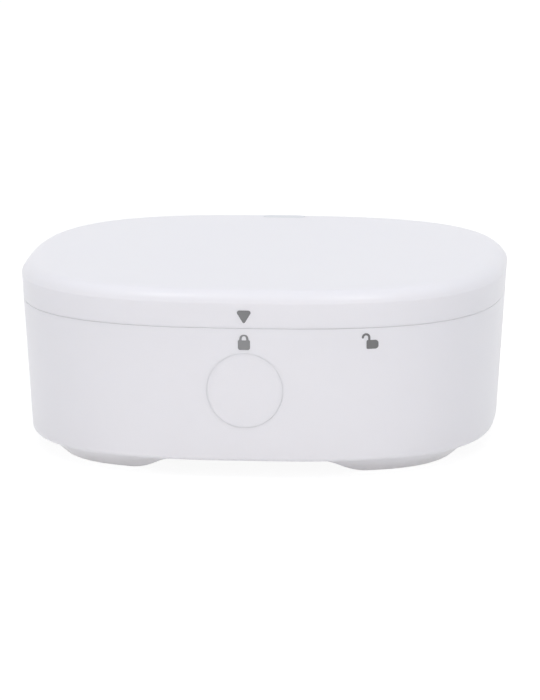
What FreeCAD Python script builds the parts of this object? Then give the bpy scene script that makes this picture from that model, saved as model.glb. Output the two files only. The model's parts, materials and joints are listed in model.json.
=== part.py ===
import FreeCAD, Part
import math
import os
from types import SimpleNamespace

import Sketcher
from FreeCAD import Placement, Rotation, Vector

# Water leak sensor: a rounded-square puck with a twist-off lid, on four corner feet.
# The origin is on the surface it stands on, under its middle. The front, with the button
# and the lock marks, faces -Y, and +Z is up. Lengths are in millimetres, angles in degrees.
SIZES = {
    # outer form
    "width": 78.0,  # across the flats, where the lid is widest
    "side_bow": 105.0,  # plan radius of the four bowed sides
    "corner_bow": 27.5,  # plan radius of the four corners
    "draft": 3.7,  # the walls lean out towards the top
    "height": 29.9,
    "top_round": 1.7,  # rounding round the lid's top
    "lid_height": 5.85,  # from the middle of the seam under the lid to its top
    "seam_gap": 0.25,
    # base
    "base_wall": 2.2,
    "floor_thickness": 2.0,
    "base_round": 0.8,  # rounding round the base's lower edge
    "foot_height": 2.5,
    "foot_inset": 7.15,  # from the widest line to the feet's flat sides, at the bottom
    "foot_bow": 160.0,  # plan radius of those sides
    "foot_corner": 17.3,  # plan radius of a foot's outer corner
    "foot_width": 8.0,  # of the ring that the feet are cut from
    "foot_draft": 50.0,  # the feet widen upwards
    "foot_round": 0.8,  # rounding round a foot's sole
    "foot_gap": 20.2,  # between two feet, at the top of the opening
    "foot_ramp": 9.2,  # length of the curved end of a foot
    "lip": 1.0,  # thin rim outside the deck
    "deck_drop": 2.45,  # from the middle of the seam down to the deck's underside
    "gasket_thickness": 0.6,
    "gasket_width": 0.9,
    "boss_inset": 2.0,  # by how much less than half the width the deck screws stand out
    "boss_radius": 3.0,
    "board_drop": 4.3,  # from the button's middle down to the board's underside
    "post_inset": 5.4,  # from the board's round edge to the board screws
    "post_radius": 2.5,
    # button
    "button_drop": 7.6,  # from the deck's underside down to the button's middle
    "button_radius": 6.0,
    "button_play": 0.13,  # round the button, in its bore
    "button_travel": 0.6,
    "button_edge": 0.25,
    "guide_wall": 0.8,
    "guide_inset": 4.6,  # from the widest line to the inner end of the button's guide
    "flange_lip": 0.7,  # how far the button's flange stands over its guide
    "flange_rest": 0.1,  # between the flange and the guide, with the button out
    "flange_thickness": 0.9,
    "cap_face": 2.0,
    "cap_wall": 1.5,
    "stem_radius": 1.6,
    "stem_inset": 8.3,  # from the widest line to the stem's tip
    "button_seal": 0.9,
    "seal_back": 1.7,  # from the wall's face to the middle of the button's seal
    # deck, collar and bayonet
    "deck_plate": 1.4,
    "deck_play": 0.15,
    "collar_radius": 30.9,
    "collar_wall": 2.0,
    "collar_gap": 0.4,  # between the collar and the lid's ceiling
    "catch_thickness": 1.1,
    "catch_stand": 0.9,  # how far a catch stands out from the collar
    "lug_play": 0.2,
    "lug_thickness": 1.1,
    "lug_arc": 12.0,
    "lug_start": 45.0,  # a lug's direction from the middle, with the lid locked
    "lid_turn": 28.5,  # from the locked mark to the unlocked mark
    "stop_arc": 1.6,
    "stop_play": 1.0,
    "seal_wire": 1.6,
    "seal_play": 0.05,  # between a seal and its groove
    "seal_rub": 0.1,  # between a seal and what it slides on
    "groove_flange": 0.45,  # below the collar's groove
    "catch_margin": 2.5,  # from a catch's end to the unlocked lug, in degrees
    "screw_sink": 0.5,  # depth of the recess for a deck screw's head
    # lid
    "lid_wall": 2.0,
    "lid_thickness": 1.7,  # of the lid's top
    "skirt_gap": 1.1,  # between the collar and the skirt round it
    "skirt_wall": 1.5,
    "skirt_drop": 0.75,  # from the middle of the seam to the skirt's lower end
    "rib_thickness": 1.0,
    "rib_depth": 2.2,
    "rib_offset": 21.5,  # of the ribs in the lid's corners, from the middle
    "press_ring": 12.0,  # radius of the ring that holds the cells down
    "press_wall": 1.0,
    "press_gap": 0.2,  # between that ring and the cells
    # status light
    "window_inset": 3.85,  # from the widest line to the window's middle
    "window_length": 7.0,
    "window_width": 2.5,
    "window_play": 0.05,
    "window_flange": 0.3,  # rim that carries the window under the lid's top
    "window_flange_depth": 0.8,
    "light_width": 6.0,  # of both light guides
    "light_thickness": 1.4,
    "light_inset": 4.2,  # from the widest line to the light guides' middle
    "light_gap": 0.3,  # between the two light guides
    "light_lift": 0.05,  # from the middle of the seam up to the lid guide's lower end
    "pipe_foot": 3.0,  # width of the lower light guide at its foot
    "pipe_flange": 0.4,  # rim of the lower light guide on the deck
    "pipe_flange_depth": 0.4,
    "lamp_length": 1.6,
    "lamp_width": 0.8,
    "lamp_height": 0.6,
    # cells and contacts
    "cell_length": 44.5,
    "cell_radius": 5.25,
    "cell_pitch": 11.7,
    "cell_lift": 0.2,  # from the deck's underside up to the cells' axes
    "cell_play": 0.2,
    "nub_radius": 1.9,
    "nub_length": 0.9,
    "cell_side_play": 0.4,
    "cell_edge": 0.4,
    "nub_gap": 0.1,  # between a cell's nub and its contact
    "contact_room": 6.1,  # by which the bay is longer than a cell
    "bay_wall": 1.2,
    "bay_end_lift": 3.6,  # from the cells' axes to the top of the walls at their ends
    "bay_shelf": 1.1,  # below the cells' axes, where the bay parts into two troughs
    "bay_end_room": 5.0,  # length of the deeper end of the bay
    "contact_sheet": 0.3,
    "contact_width": 8.0,
    "contact_play": 0.15,
    "contact_lift": 3.4,  # from the cells' axes to the contacts' upper ends
    "dimple": 0.5,
    "dimple_radius": 1.5,
    "leaf_width": 4.0,
    "leaf_nose": 1.2,  # flat of a leaf spring's nose
    "leaf_rise": 3.6,  # of a leaf spring, above and below its nose
    "leaf_gap": 0.15,
    "tail_width": 3.0,
    "tail_gap": 0.05,
    # board and what it carries
    "board_inset": 6.6,  # from the widest line to the board's round edge
    "board_thickness": 1.2,
    "switch_size": 6.0,
    "switch_depth": 3.5,
    "plunger_radius": 1.7,
    "plunger_length": 2.0,
    "plunger_stand": 1.2,  # how far the plunger stands out of the switch
    "plunger_play": 0.1,
    "plunger_spare": 0.2,
    "stem_gap": 0.15,
    "solder": 0.05,  # under what is soldered to the board
    "module_inset": 10.9,  # from the board's round edge
    "module_length": 16.0,
    "module_width": 12.0,
    "module_height": 0.8,
    "can_length": 13.0,
    "can_width": 10.0,
    "can_height": 1.6,
    "can_edge": 0.4,
    "chip_across": 14.0,
    "chip_back": 3.0,
    "chip_size": 7.0,
    "chip_height": 0.9,
    "crystal_across": 7.5,
    "crystal_width": 1.5,
    "crystal_length": 3.2,
    "sense_inset": 8.4,  # from the board's round edge
    "sense_back": 13.0,
    "capacitor_across": 11.0,
    "capacitor_inset": 12.4,  # from the board's round edge
    "capacitor_radius": 2.5,
    "capacitor_height": 6.0,
    "antenna_inset": 1.6,
    "antenna_sheet": 0.4,
    "antenna_height": 3.0,
    "antenna_arc": 56.0,
    "tab_inset": 3.7,  # from the widest line to the end of the tab that carries the lamp
    "tab_width": 10.0,
    # sounder and probes
    "sounder_radius": 11.1,
    "sounder_plate": 0.25,
    "ceramic_radius": 7.4,
    "ceramic_thickness": 0.22,
    "sounder_rest": 1.6,  # height of the ring that carries the sounder
    "sounder_step": 1.1,  # width of that ring under the plate's rim
    "membrane_radius": 4.5,
    "membrane_thickness": 0.2,
    "port_radius": 0.7,
    "port_circle": 2.6,
    "probe_reach": 14.2,  # from the middle along the diagonals
    "probe_shank": 1.15,
    "probe_head": 2.3,
    "probe_clear": 0.5,  # between a probe's tip and what the sensor stands on
    "probe_play": 0.1,
    "probe_tip": 0.5,  # rounding of a probe's tip
    "probe_head_height": 0.9,
    "washer_thickness": 0.6,
    "clip_width": 2.2,  # of the springs under the board
    "clip_sheet": 0.25,
    "clip_reach": 3.2,
    "clip_gap": 0.1,
    # fasteners
    "screw_radius": 1.05,
    "screw_head": 2.05,
    "screw_head_height": 1.2,
    "screw_length": 5.6,  # below the head
    "screw_play": 0.05,
    "screw_pass": 0.2,  # round a screw, where it passes a hole freely
    "screw_spare": 0.4,  # of a blind hole's depth, past the screw
    "screw_slot": 0.5,
    "screw_edge": 0.45,
}


class Size(float):
    """A number that also carries the sheet formula it was worked out with."""

    def __new__(cls, value, formula=None):
        made = super().__new__(cls, value)
        made.formula = formula or repr(round(float(value), 9))
        return made

    def joined(self, other, sign, value):
        if not isinstance(other, Size):
            other = Size(other)
        return Size(value, f"({self.formula} {sign} {other.formula})")

    def __add__(self, other):
        return self.joined(other, "+", float(self) + float(other))

    def __sub__(self, other):
        return self.joined(other, "-", float(self) - float(other))

    def __mul__(self, other):
        return self.joined(other, "*", float(self) * float(other))

    def __truediv__(self, other):
        return self.joined(other, "/", float(self) / float(other))

    def __neg__(self):
        return Size(-float(self), f"(-1 * {self.formula})")


def tan_of(angle):
    """The tangent of an angle in degrees, in Python and in the sheet."""
    return Size(math.tan(math.radians(angle)), f"tan({angle.formula} * 1 deg)")


def leg_of(long_side, other):
    """The third side of a right-angled triangle."""
    length = math.sqrt(float(long_side) ** 2 - float(other) ** 2)
    return Size(length, f"sqrt({long_side.formula} ^ 2 - {other.formula} ^ 2)")


doc = FreeCAD.newDocument("leak_sensor")
sheet = doc.addObject("Spreadsheet::Sheet", "dims")
for row, (alias, value) in enumerate(SIZES.items(), 1):
    sheet.set(f"A{row}", alias)
    sheet.set(f"B{row}", str(value))
    sheet.setAlias(f"B{row}", alias)
doc.recompute()
d = SimpleNamespace(**{a: Size(v, f"dims.{a}") for a, v in SIZES.items()})

# Heights and reaches that several pieces share.
half_width = d.width / 2
widest_height = d.height - d.top_round
seam_height = d.height - d.lid_height
rim_height = seam_height - d.seam_gap / 2
lid_edge = seam_height + d.seam_gap / 2
floor_top = d.foot_height + d.floor_thickness
lid_ceiling = d.height - d.lid_thickness
collar_height = lid_ceiling - d.collar_gap
skirt_bore = d.collar_radius + d.skirt_gap
skirt_height = seam_height - d.skirt_drop
light_end = seam_height + d.light_lift
deck_height = seam_height - d.deck_drop
ledge_height = deck_height - d.gasket_thickness
cell_height = deck_height + d.cell_lift
shelf_height = cell_height - d.bay_shelf
bay_end_height = cell_height + d.bay_end_lift
contact_top = cell_height + d.contact_lift
button_height = deck_height - d.button_drop
board_height = button_height - d.board_drop
guide_reach = half_width - d.guide_inset
stem_reach = half_width - d.stem_inset
window_reach = half_width - d.window_inset
light_reach = half_width - d.light_inset
board_radius = half_width - d.board_inset
tab_reach = half_width - d.tab_inset
boss_reach = half_width - d.boss_inset
post_reach = board_radius - d.post_inset
module_reach = board_radius - d.module_inset
sense_across = board_radius - d.sense_inset
capacitor_back = board_radius - d.capacitor_inset
deck_top = deck_height + d.deck_plate
board_top = board_height + d.board_thickness
catch_height = collar_height - d.catch_thickness
lug_height = catch_height - d.lug_play - d.lug_thickness
button_bore = d.button_radius + d.button_play
cell_offset = d.cell_pitch / 2
bay_length = d.cell_length + d.contact_room
bay_end = bay_length / 2
bay_side = cell_offset + d.cell_radius + d.cell_side_play
bay_floor = cell_height - d.cell_radius - d.cell_play
seal_radius = d.seal_wire / 2
seal_height = deck_top + d.groove_flange + d.seal_play + seal_radius
catch_start = d.lug_start - d.lug_arc / 2 - d.stop_play - d.stop_arc
skirt_outer = skirt_bore + d.skirt_wall
head_seat = deck_top - d.screw_sink
screw_hole = d.screw_radius + d.screw_play
screw_way = d.screw_radius + d.screw_pass
pipe_end = light_end - d.light_gap
switch_front = stem_reach - d.stem_gap - d.plunger_stand
flange_front = guide_reach - d.flange_rest
flange_back = flange_front - d.flange_thickness
sounder_height = floor_top + d.sounder_rest
probe_seat = floor_top + d.washer_thickness
probe_top = probe_seat + d.probe_head_height
diagonal = math.sqrt(0.5)
finished = []


def lean(height):
    """How far the outer wall at this height lies inside its widest line."""
    return (widest_height - height) * tan_of(d.draft)


def side_reach(inset, across):
    """From the middle to a bowed side drawn in by inset, this far off its middle."""
    return leg_of(d.side_bow - inset, across) - (d.side_bow - half_width)


button_face = half_width - lean(button_height)
seal_reach = button_face - d.seal_back
groove_half = d.button_seal / 2 + d.seal_play
boss_across = boss_reach * diagonal
post_across = post_reach * diagonal
probe_across = d.probe_reach * diagonal


def bind(target, prop, value):
    """Sets a property, and ties it to the sheet where the value came from there."""
    setattr(target, prop, float(value))
    if isinstance(value, Size):
        target.setExpression(prop, value.formula)


def new_body(label):
    body = doc.addObject("PartDesign::Body", label)
    body.Label = label
    body.AllowCompound = True
    return body


def origin_feature(body, role):
    return next(f for f in body.Origin.OriginFeatures if f.Role == role)


def new_sketch(body, name, offset=0.0, plane="XY_Plane"):
    """A sketch on an origin plane, moved along the plane's normal by offset."""
    made = body.newObject("Sketcher::SketchObject", name)
    made.AttachmentSupport = (origin_feature(body, plane), "")
    made.MapMode = "FlatFace"
    made.AttachmentOffset = Placement(Vector(0, 0, float(offset)), Rotation())
    if isinstance(offset, Size):
        made.setExpression("AttachmentOffset.Base.z", offset.formula)
    return made


def constrain(sketch, *terms, value=None):
    """Adds one constraint, tied to the sheet where it has a value from there."""
    if value is None:
        sketch.addConstraint(Sketcher.Constraint(*terms))
        return
    index = sketch.addConstraint(Sketcher.Constraint(*terms, float(value)))
    if isinstance(value, Size):
        sketch.setExpression(f"Constraints[{index}]", value.formula)


ORIGIN_POINT = (-1, 1)
X_AXIS, Y_AXIS = -1, -2


def locate(sketch, geometry, point, x, y):
    """Fixes one point of a sketch by its two coordinates."""
    spot = (geometry, point)
    for kind, axis, value in (("DistanceX", Y_AXIS, x), ("DistanceY", X_AXIS, y)):
        if float(value) == 0.0:
            constrain(sketch, "PointOnObject", *spot, axis)
        elif float(value) < 0.0:
            constrain(sketch, kind, *spot, *ORIGIN_POINT, value=-value)
        else:
            constrain(sketch, kind, *ORIGIN_POINT, *spot, value=value)


def draw_circle(sketch, radius, x=0.0, y=0.0):
    circle = Part.Circle(Vector(float(x), float(y), 0), Vector(0, 0, 1), float(radius))
    added = sketch.addGeometry(circle)
    locate(sketch, added, 3, x, y)
    constrain(sketch, "Radius", added, value=radius)


def draw_polygon(sketch, corners):
    """A closed outline of straight lines, each corner fixed by its coordinates."""
    spots = [Vector(float(x), float(y), 0) for x, y in corners]
    after = spots[1:] + spots[:1]
    lines = [sketch.addGeometry(Part.LineSegment(a, b)) for a, b in zip(spots, after)]
    for line, following in zip(lines, lines[1:] + lines[:1]):
        constrain(sketch, "Coincident", line, 2, following, 1)
    for line, (x, y) in zip(lines, corners):
        locate(sketch, line, 1, x, y)


def draw_rectangle(sketch, left, right, low, high):
    draw_polygon(sketch, [(left, low), (right, low), (right, high), (left, high)])


def draw_slot(sketch, length, width, x, y):
    """A slot with round ends along X, centred on (x, y)."""
    reach = (length - width) / 2
    radius = width / 2
    ends = []
    for side in (1, -1):
        centre = Vector(float(x) + side * float(reach), float(y), 0)
        ring = Part.Circle(centre, Vector(0, 0, 1), float(radius))
        start = -math.pi / 2 if side > 0 else math.pi / 2
        ends.append(sketch.addGeometry(Part.ArcOfCircle(ring, start, start + math.pi)))
    right, left = ends
    high = Part.LineSegment(Vector(1, 1, 0), Vector(-1, 1, 0))
    low = Part.LineSegment(Vector(-1, -1, 0), Vector(1, -1, 0))
    for line, level in ((high, 1), (low, -1)):
        across = float(reach) * level
        line.StartPoint = Vector(float(x) + across, float(y) + level * float(radius), 0)
        line.EndPoint = Vector(float(x) - across, float(y) + level * float(radius), 0)
    high, low = sketch.addGeometry(high), sketch.addGeometry(low)
    constrain(sketch, "Tangent", right, 2, high, 1)
    constrain(sketch, "Tangent", high, 2, left, 1)
    constrain(sketch, "Tangent", left, 2, low, 1)
    constrain(sketch, "Tangent", low, 2, right, 1)
    locate(sketch, right, 3, reach + x, y)
    locate(sketch, left, 3, -reach + x, y)
    constrain(sketch, "Equal", right, left)
    constrain(sketch, "Radius", right, value=radius)


def draw_sector(sketch, inner, outer, start, sweep):
    """Part of a ring round the origin, from one direction and through an angle."""
    begin, end = math.radians(start), math.radians(start + sweep)
    upward = Vector(0, 0, 1)
    arcs = []
    for radius in (inner, outer):
        ring = Part.Circle(Vector(0, 0, 0), upward, float(radius))
        arcs.append(sketch.addGeometry(Part.ArcOfCircle(ring, begin, end)))
        constrain(sketch, "Coincident", arcs[-1], 3, *ORIGIN_POINT)
        constrain(sketch, "Radius", arcs[-1], value=radius)
    for point, angle, direction in ((1, begin, start), (2, end, start + sweep)):
        ray = Vector(math.cos(angle), math.sin(angle), 0)
        side = Part.LineSegment(ray * float(inner), ray * float(outer))
        line = sketch.addGeometry(side)
        constrain(sketch, "Coincident", line, 1, arcs[0], point)
        constrain(sketch, "Coincident", line, 2, arcs[1], point)
        constrain(sketch, "PointOnObject", *ORIGIN_POINT, line)
        index = sketch.addConstraint(Sketcher.Constraint("Angle", line, angle))
        sketch.setExpression(f"Constraints[{index}]", f"{direction.formula} * 1 deg")


def draw_bowed_square(sketch, half, side, corner):
    """Four bowed sides and four round corners, half wide each way from the middle."""
    behind = side - half
    back = float(behind)
    reach = math.sqrt(2 * float(side - corner) ** 2 - back**2)
    corner_centre = (reach - back) / 2
    turn = math.atan2(corner_centre, corner_centre + back)
    upward = Vector(0, 0, 1)
    arcs = []
    for quarter in range(4):
        heading = quarter * math.pi / 2
        spin = Rotation(upward, math.degrees(heading))
        bow = Part.Circle(spin.multVec(Vector(-back, 0, 0)), upward, float(side))
        arcs.append(Part.ArcOfCircle(bow, heading - turn, heading + turn))
        middle = spin.multVec(Vector(corner_centre, corner_centre, 0))
        bend = Part.Circle(middle, upward, float(corner))
        arcs.append(Part.ArcOfCircle(bend, heading + turn, heading + math.pi / 2 - turn))
    added = [sketch.addGeometry(arc) for arc in arcs]
    for arc, following in zip(added, added[1:] + added[:1]):
        constrain(sketch, "Tangent", arc, 2, following, 1)
    sides, corners = added[0::2], added[1::2]
    for arc in sides[1:]:
        constrain(sketch, "Equal", sides[0], arc)
    for arc in corners[1:]:
        constrain(sketch, "Equal", corners[0], arc)
    constrain(sketch, "Radius", sides[0], value=side)
    constrain(sketch, "Radius", corners[0], value=corner)
    for arc, axis in zip(sides, (X_AXIS, Y_AXIS, X_AXIS, Y_AXIS)):
        constrain(sketch, "PointOnObject", arc, 3, axis)
    constrain(sketch, "DistanceX", sides[0], 3, *ORIGIN_POINT, value=behind)
    constrain(sketch, "DistanceY", sides[1], 3, *ORIGIN_POINT, value=behind)
    constrain(sketch, "DistanceX", *ORIGIN_POINT, sides[2], 3, value=behind)
    constrain(sketch, "DistanceY", *ORIGIN_POINT, sides[3], 3, value=behind)


def draw_rounded_square(sketch, inset):
    """The sensor's own plan, drawn in by inset from its widest line."""
    outline = (half_width - inset, d.side_bow - inset, d.corner_bow - inset)
    draw_bowed_square(sketch, *outline)


def draw_foot_ring(sketch, inset):
    """The plan that the four feet share, drawn in by inset from their outer line."""
    half = half_width - d.foot_inset - inset
    draw_bowed_square(sketch, half, d.foot_bow - inset, d.foot_corner - inset)


def pad(body, sketch, length, taper=0.0, back=False, both=False):
    """Extrudes a sketch along its normal, the other way with back, or both ways."""
    made = body.newObject("PartDesign::Pad", f"{sketch.Name}_pad")
    made.Profile = sketch
    made.SideType = "Symmetric" if both else "One side"
    bind(made, "Length", length)
    bind(made, "TaperAngle", taper)
    made.Reversed = back
    doc.recompute()
    return made


def pocket(body, sketch, depth, taper=0.0, ahead=False, both=False):
    """Cuts a sketch against its normal, ahead along it, or both ways."""
    before = body.Shape.Volume
    made = body.newObject("PartDesign::Pocket", f"{sketch.Name}_cut")
    made.Profile = sketch
    made.SideType = "Symmetric" if both else "One side"
    bind(made, "Length", depth)
    bind(made, "TaperAngle", taper)
    made.Reversed = ahead
    doc.recompute()
    if not made.Shape.Volume < before:
        raise ValueError(f"{made.Name} in {body.Label} cuts nothing")
    return made


def revolve(body, sketch, axis="V_Axis", cut=False):
    """Turns a sketch full circle about one of its own axes."""
    before = body.Shape.Volume if cut else 0.0
    kind = "PartDesign::Groove" if cut else "PartDesign::Revolution"
    made = body.newObject(kind, f"{sketch.Name}_turned")
    made.Profile = sketch
    made.ReferenceAxis = (sketch, [axis])
    made.Angle = 360.0
    doc.recompute()
    if cut and not made.Shape.Volume < before:
        raise ValueError(f"{made.Name} in {body.Label} cuts nothing")
    return made


def round_edges(body, feature, picked, radius):
    """Fillets the feature's edges for which picked(edge) is true."""
    names = [f"Edge{i}" for i, e in enumerate(feature.Shape.Edges, 1) if picked(e)]
    made = body.newObject("PartDesign::Fillet", f"{feature.Name}_round")
    made.Base = (feature, names)
    bind(made, "Radius", radius)
    doc.recompute()
    return made


def repeat_round(body, features, count, angle=360.0):
    """Repeats features round the Z axis, or the whole body where there are none."""
    name = features[0].Name if features else body.Name
    made = body.newObject("PartDesign::PolarPattern", f"{name}_round_z")
    if features:
        made.Originals = features
    else:
        made.TransformMode = "Whole shape"
    made.Axis = (origin_feature(body, "Z_Axis"), [""])
    made.Angle = angle
    made.Occurrences = count
    body.Tip = made
    doc.recompute()
    return made


def lies_at(height):
    """Picks edges that lie flat at one height."""
    return lambda edge: all(abs(v.Point.z - height) < 1e-6 for v in edge.Vertexes)


def finish(body):
    """Puts a piece on the list of those that are written out."""
    doc.recompute()
    finished.append(body)
    return body


def outer_block(body, top):
    """The base's outer form, solid, from its underside up to a height."""
    plan = new_sketch(body, "outer_plan", d.foot_height)
    draw_rounded_square(plan, lean(d.foot_height))
    return pad(body, plan, top - d.foot_height, taper=d.draft)


def make_block(label, corner, size, keep=True):
    """A plain box with its lowest corner at a place, both tied to the sheet."""
    made = doc.addObject("Part::Box", label)
    made.Label = label
    for prop, value in zip(("Length", "Width", "Height"), size):
        bind(made, prop, value)
    made.Placement.Base = Vector(*(float(value) for value in corner))
    for axis, value in zip("xyz", corner):
        made.setExpression(f"Placement.Base.{axis}", value.formula)
    if keep:
        finish(made)
    return made


# The base: a drafted tray on four corner feet, with posts for the board and the deck.


def draw_foot_gap(sketch):
    """The opening between two feet: level on top, with an S-curve at each end."""
    high, top_end = d.foot_height, d.foot_gap / 2
    floor_end = top_end + d.foot_ramp
    rise, run = float(high), float(d.foot_ramp)
    bend = (rise**2 + run**2) / (4 * rise)
    swing = math.asin(run / 2 / bend)
    upward = Vector(0, 0, 1)
    right, left = float(top_end), -float(top_end)
    level = Part.LineSegment(Vector(left, rise, 0), Vector(right, rise, 0))
    level = sketch.addGeometry(level)
    locate(sketch, level, 1, -top_end, high)
    locate(sketch, level, 2, top_end, high)
    floor_ends = []
    for side, level_end in ((1, 2), (-1, 1)):
        upper = Part.Circle(Vector(side * right, rise - bend, 0), upward, bend)
        lower = Part.Circle(Vector(side * (right + run), bend, 0), upward, bend)
        meet, flat = (1, 2) if side > 0 else (2, 1)
        arcs = []
        for circle, end in ((upper, math.pi / 2), (lower, 3 * math.pi / 2)):
            first, last = sorted((end, end - side * swing))
            arcs.append(sketch.addGeometry(Part.ArcOfCircle(circle, first, last)))
        upper, lower = arcs
        constrain(sketch, "Tangent", level, level_end, upper, flat)
        constrain(sketch, "Tangent", upper, meet, lower, meet)
        constrain(sketch, "Equal", upper, lower)
        constrain(sketch, "Vertical", lower, 3, lower, flat)
        locate(sketch, lower, flat, floor_end if side > 0 else -floor_end, Size(0.0))
        floor_ends.append((lower, flat))
    low = -float(high)
    reach = right + run
    spots = [Vector(reach, 0, 0), Vector(reach, low, 0), Vector(-reach, low, 0)]
    spots.append(Vector(-reach, 0, 0))
    sides = [Part.LineSegment(a, b) for a, b in zip(spots, spots[1:])]
    sides = [sketch.addGeometry(line) for line in sides]
    constrain(sketch, "Coincident", *floor_ends[0], sides[0], 1)
    constrain(sketch, "Coincident", sides[0], 2, sides[1], 1)
    constrain(sketch, "Coincident", sides[1], 2, sides[2], 1)
    constrain(sketch, "Coincident", sides[2], 2, *floor_ends[1])
    constrain(sketch, "Vertical", sides[0])
    constrain(sketch, "Vertical", sides[2])
    constrain(sketch, "Horizontal", sides[1])
    constrain(sketch, "DistanceY", sides[1], 1, *ORIGIN_POINT, value=high)


def make_base_housing():
    body = new_body("base_housing")
    block = outer_block(body, rim_height)
    round_edges(body, block, lies_at(float(d.foot_height)), d.base_round)
    ring = new_sketch(body, "foot_ring")
    draw_foot_ring(ring, Size(0.0))
    feet = pad(body, ring, d.foot_height, taper=d.foot_draft)
    round_edges(body, feet, lies_at(0.0), d.foot_round)
    recess = new_sketch(body, "foot_recess")
    draw_foot_ring(recess, d.foot_width)
    pocket(body, recess, d.foot_height, ahead=True)
    gap = new_sketch(body, "foot_gap", plane="XZ_Plane")
    draw_foot_gap(gap)
    gap_cut = pocket(body, gap, d.width * 2, both=True)
    repeat_round(body, [gap_cut], 2, 90.0)

    cavity = new_sketch(body, "cavity", floor_top)
    draw_rounded_square(cavity, lean(floor_top) + d.base_wall)
    pocket(body, cavity, rim_height, taper=d.draft, ahead=True)
    lip = new_sketch(body, "lip", ledge_height)
    draw_rounded_square(lip, lean(ledge_height) + d.lip)
    pocket(body, lip, rim_height, ahead=True)

    posts = (
        ("deck_boss", d.boss_radius, boss_across, deck_height),
        ("board_post", d.post_radius, post_across, board_height),
    )
    for name, radius, across, top in posts:
        foot = new_sketch(body, name, floor_top)
        draw_circle(foot, radius, across, across)
        stand = pad(body, foot, top - floor_top)
        hole = new_sketch(body, f"{name}_hole", top)
        draw_circle(hole, screw_hole, across, across)
        deep = d.screw_length + d.screw_spare
        if name == "deck_boss":
            deep = deep + d.screw_sink - d.deck_plate
        else:
            deep = deep - d.board_thickness
        drilled = pocket(body, hole, deep)
        repeat_round(body, [stand, drilled], 4)

    guide = new_sketch(body, "button_guide", guide_reach, "XZ_Plane")
    draw_circle(guide, button_bore + d.guide_wall, 0.0, button_height)
    pad(body, guide, button_face - d.base_wall / 2 - guide_reach)
    bore = new_sketch(body, "button_bore", guide_reach - d.flange_lip, "XZ_Plane")
    draw_circle(bore, button_bore, 0.0, button_height)
    pocket(body, bore, half_width, ahead=True)

    probe = new_sketch(body, "probe_hole", floor_top)
    draw_circle(probe, d.probe_shank + d.probe_play, probe_across, probe_across)
    probe_cut = pocket(body, probe, d.floor_thickness)
    repeat_round(body, [probe_cut], 4)
    rest = new_sketch(body, "sounder_rest", floor_top)
    draw_circle(rest, d.sounder_radius)
    draw_circle(rest, d.sounder_radius - d.sounder_step)
    pad(body, rest, d.sounder_rest)
    port = new_sketch(body, "sound_port", floor_top)
    draw_circle(port, d.port_radius, d.port_circle)
    port_cut = pocket(body, port, d.floor_thickness)
    repeat_round(body, [port_cut], 6)
    return finish(body)


# The deck: a lid over the electronics, with the battery tray and the lid's collar.


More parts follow.
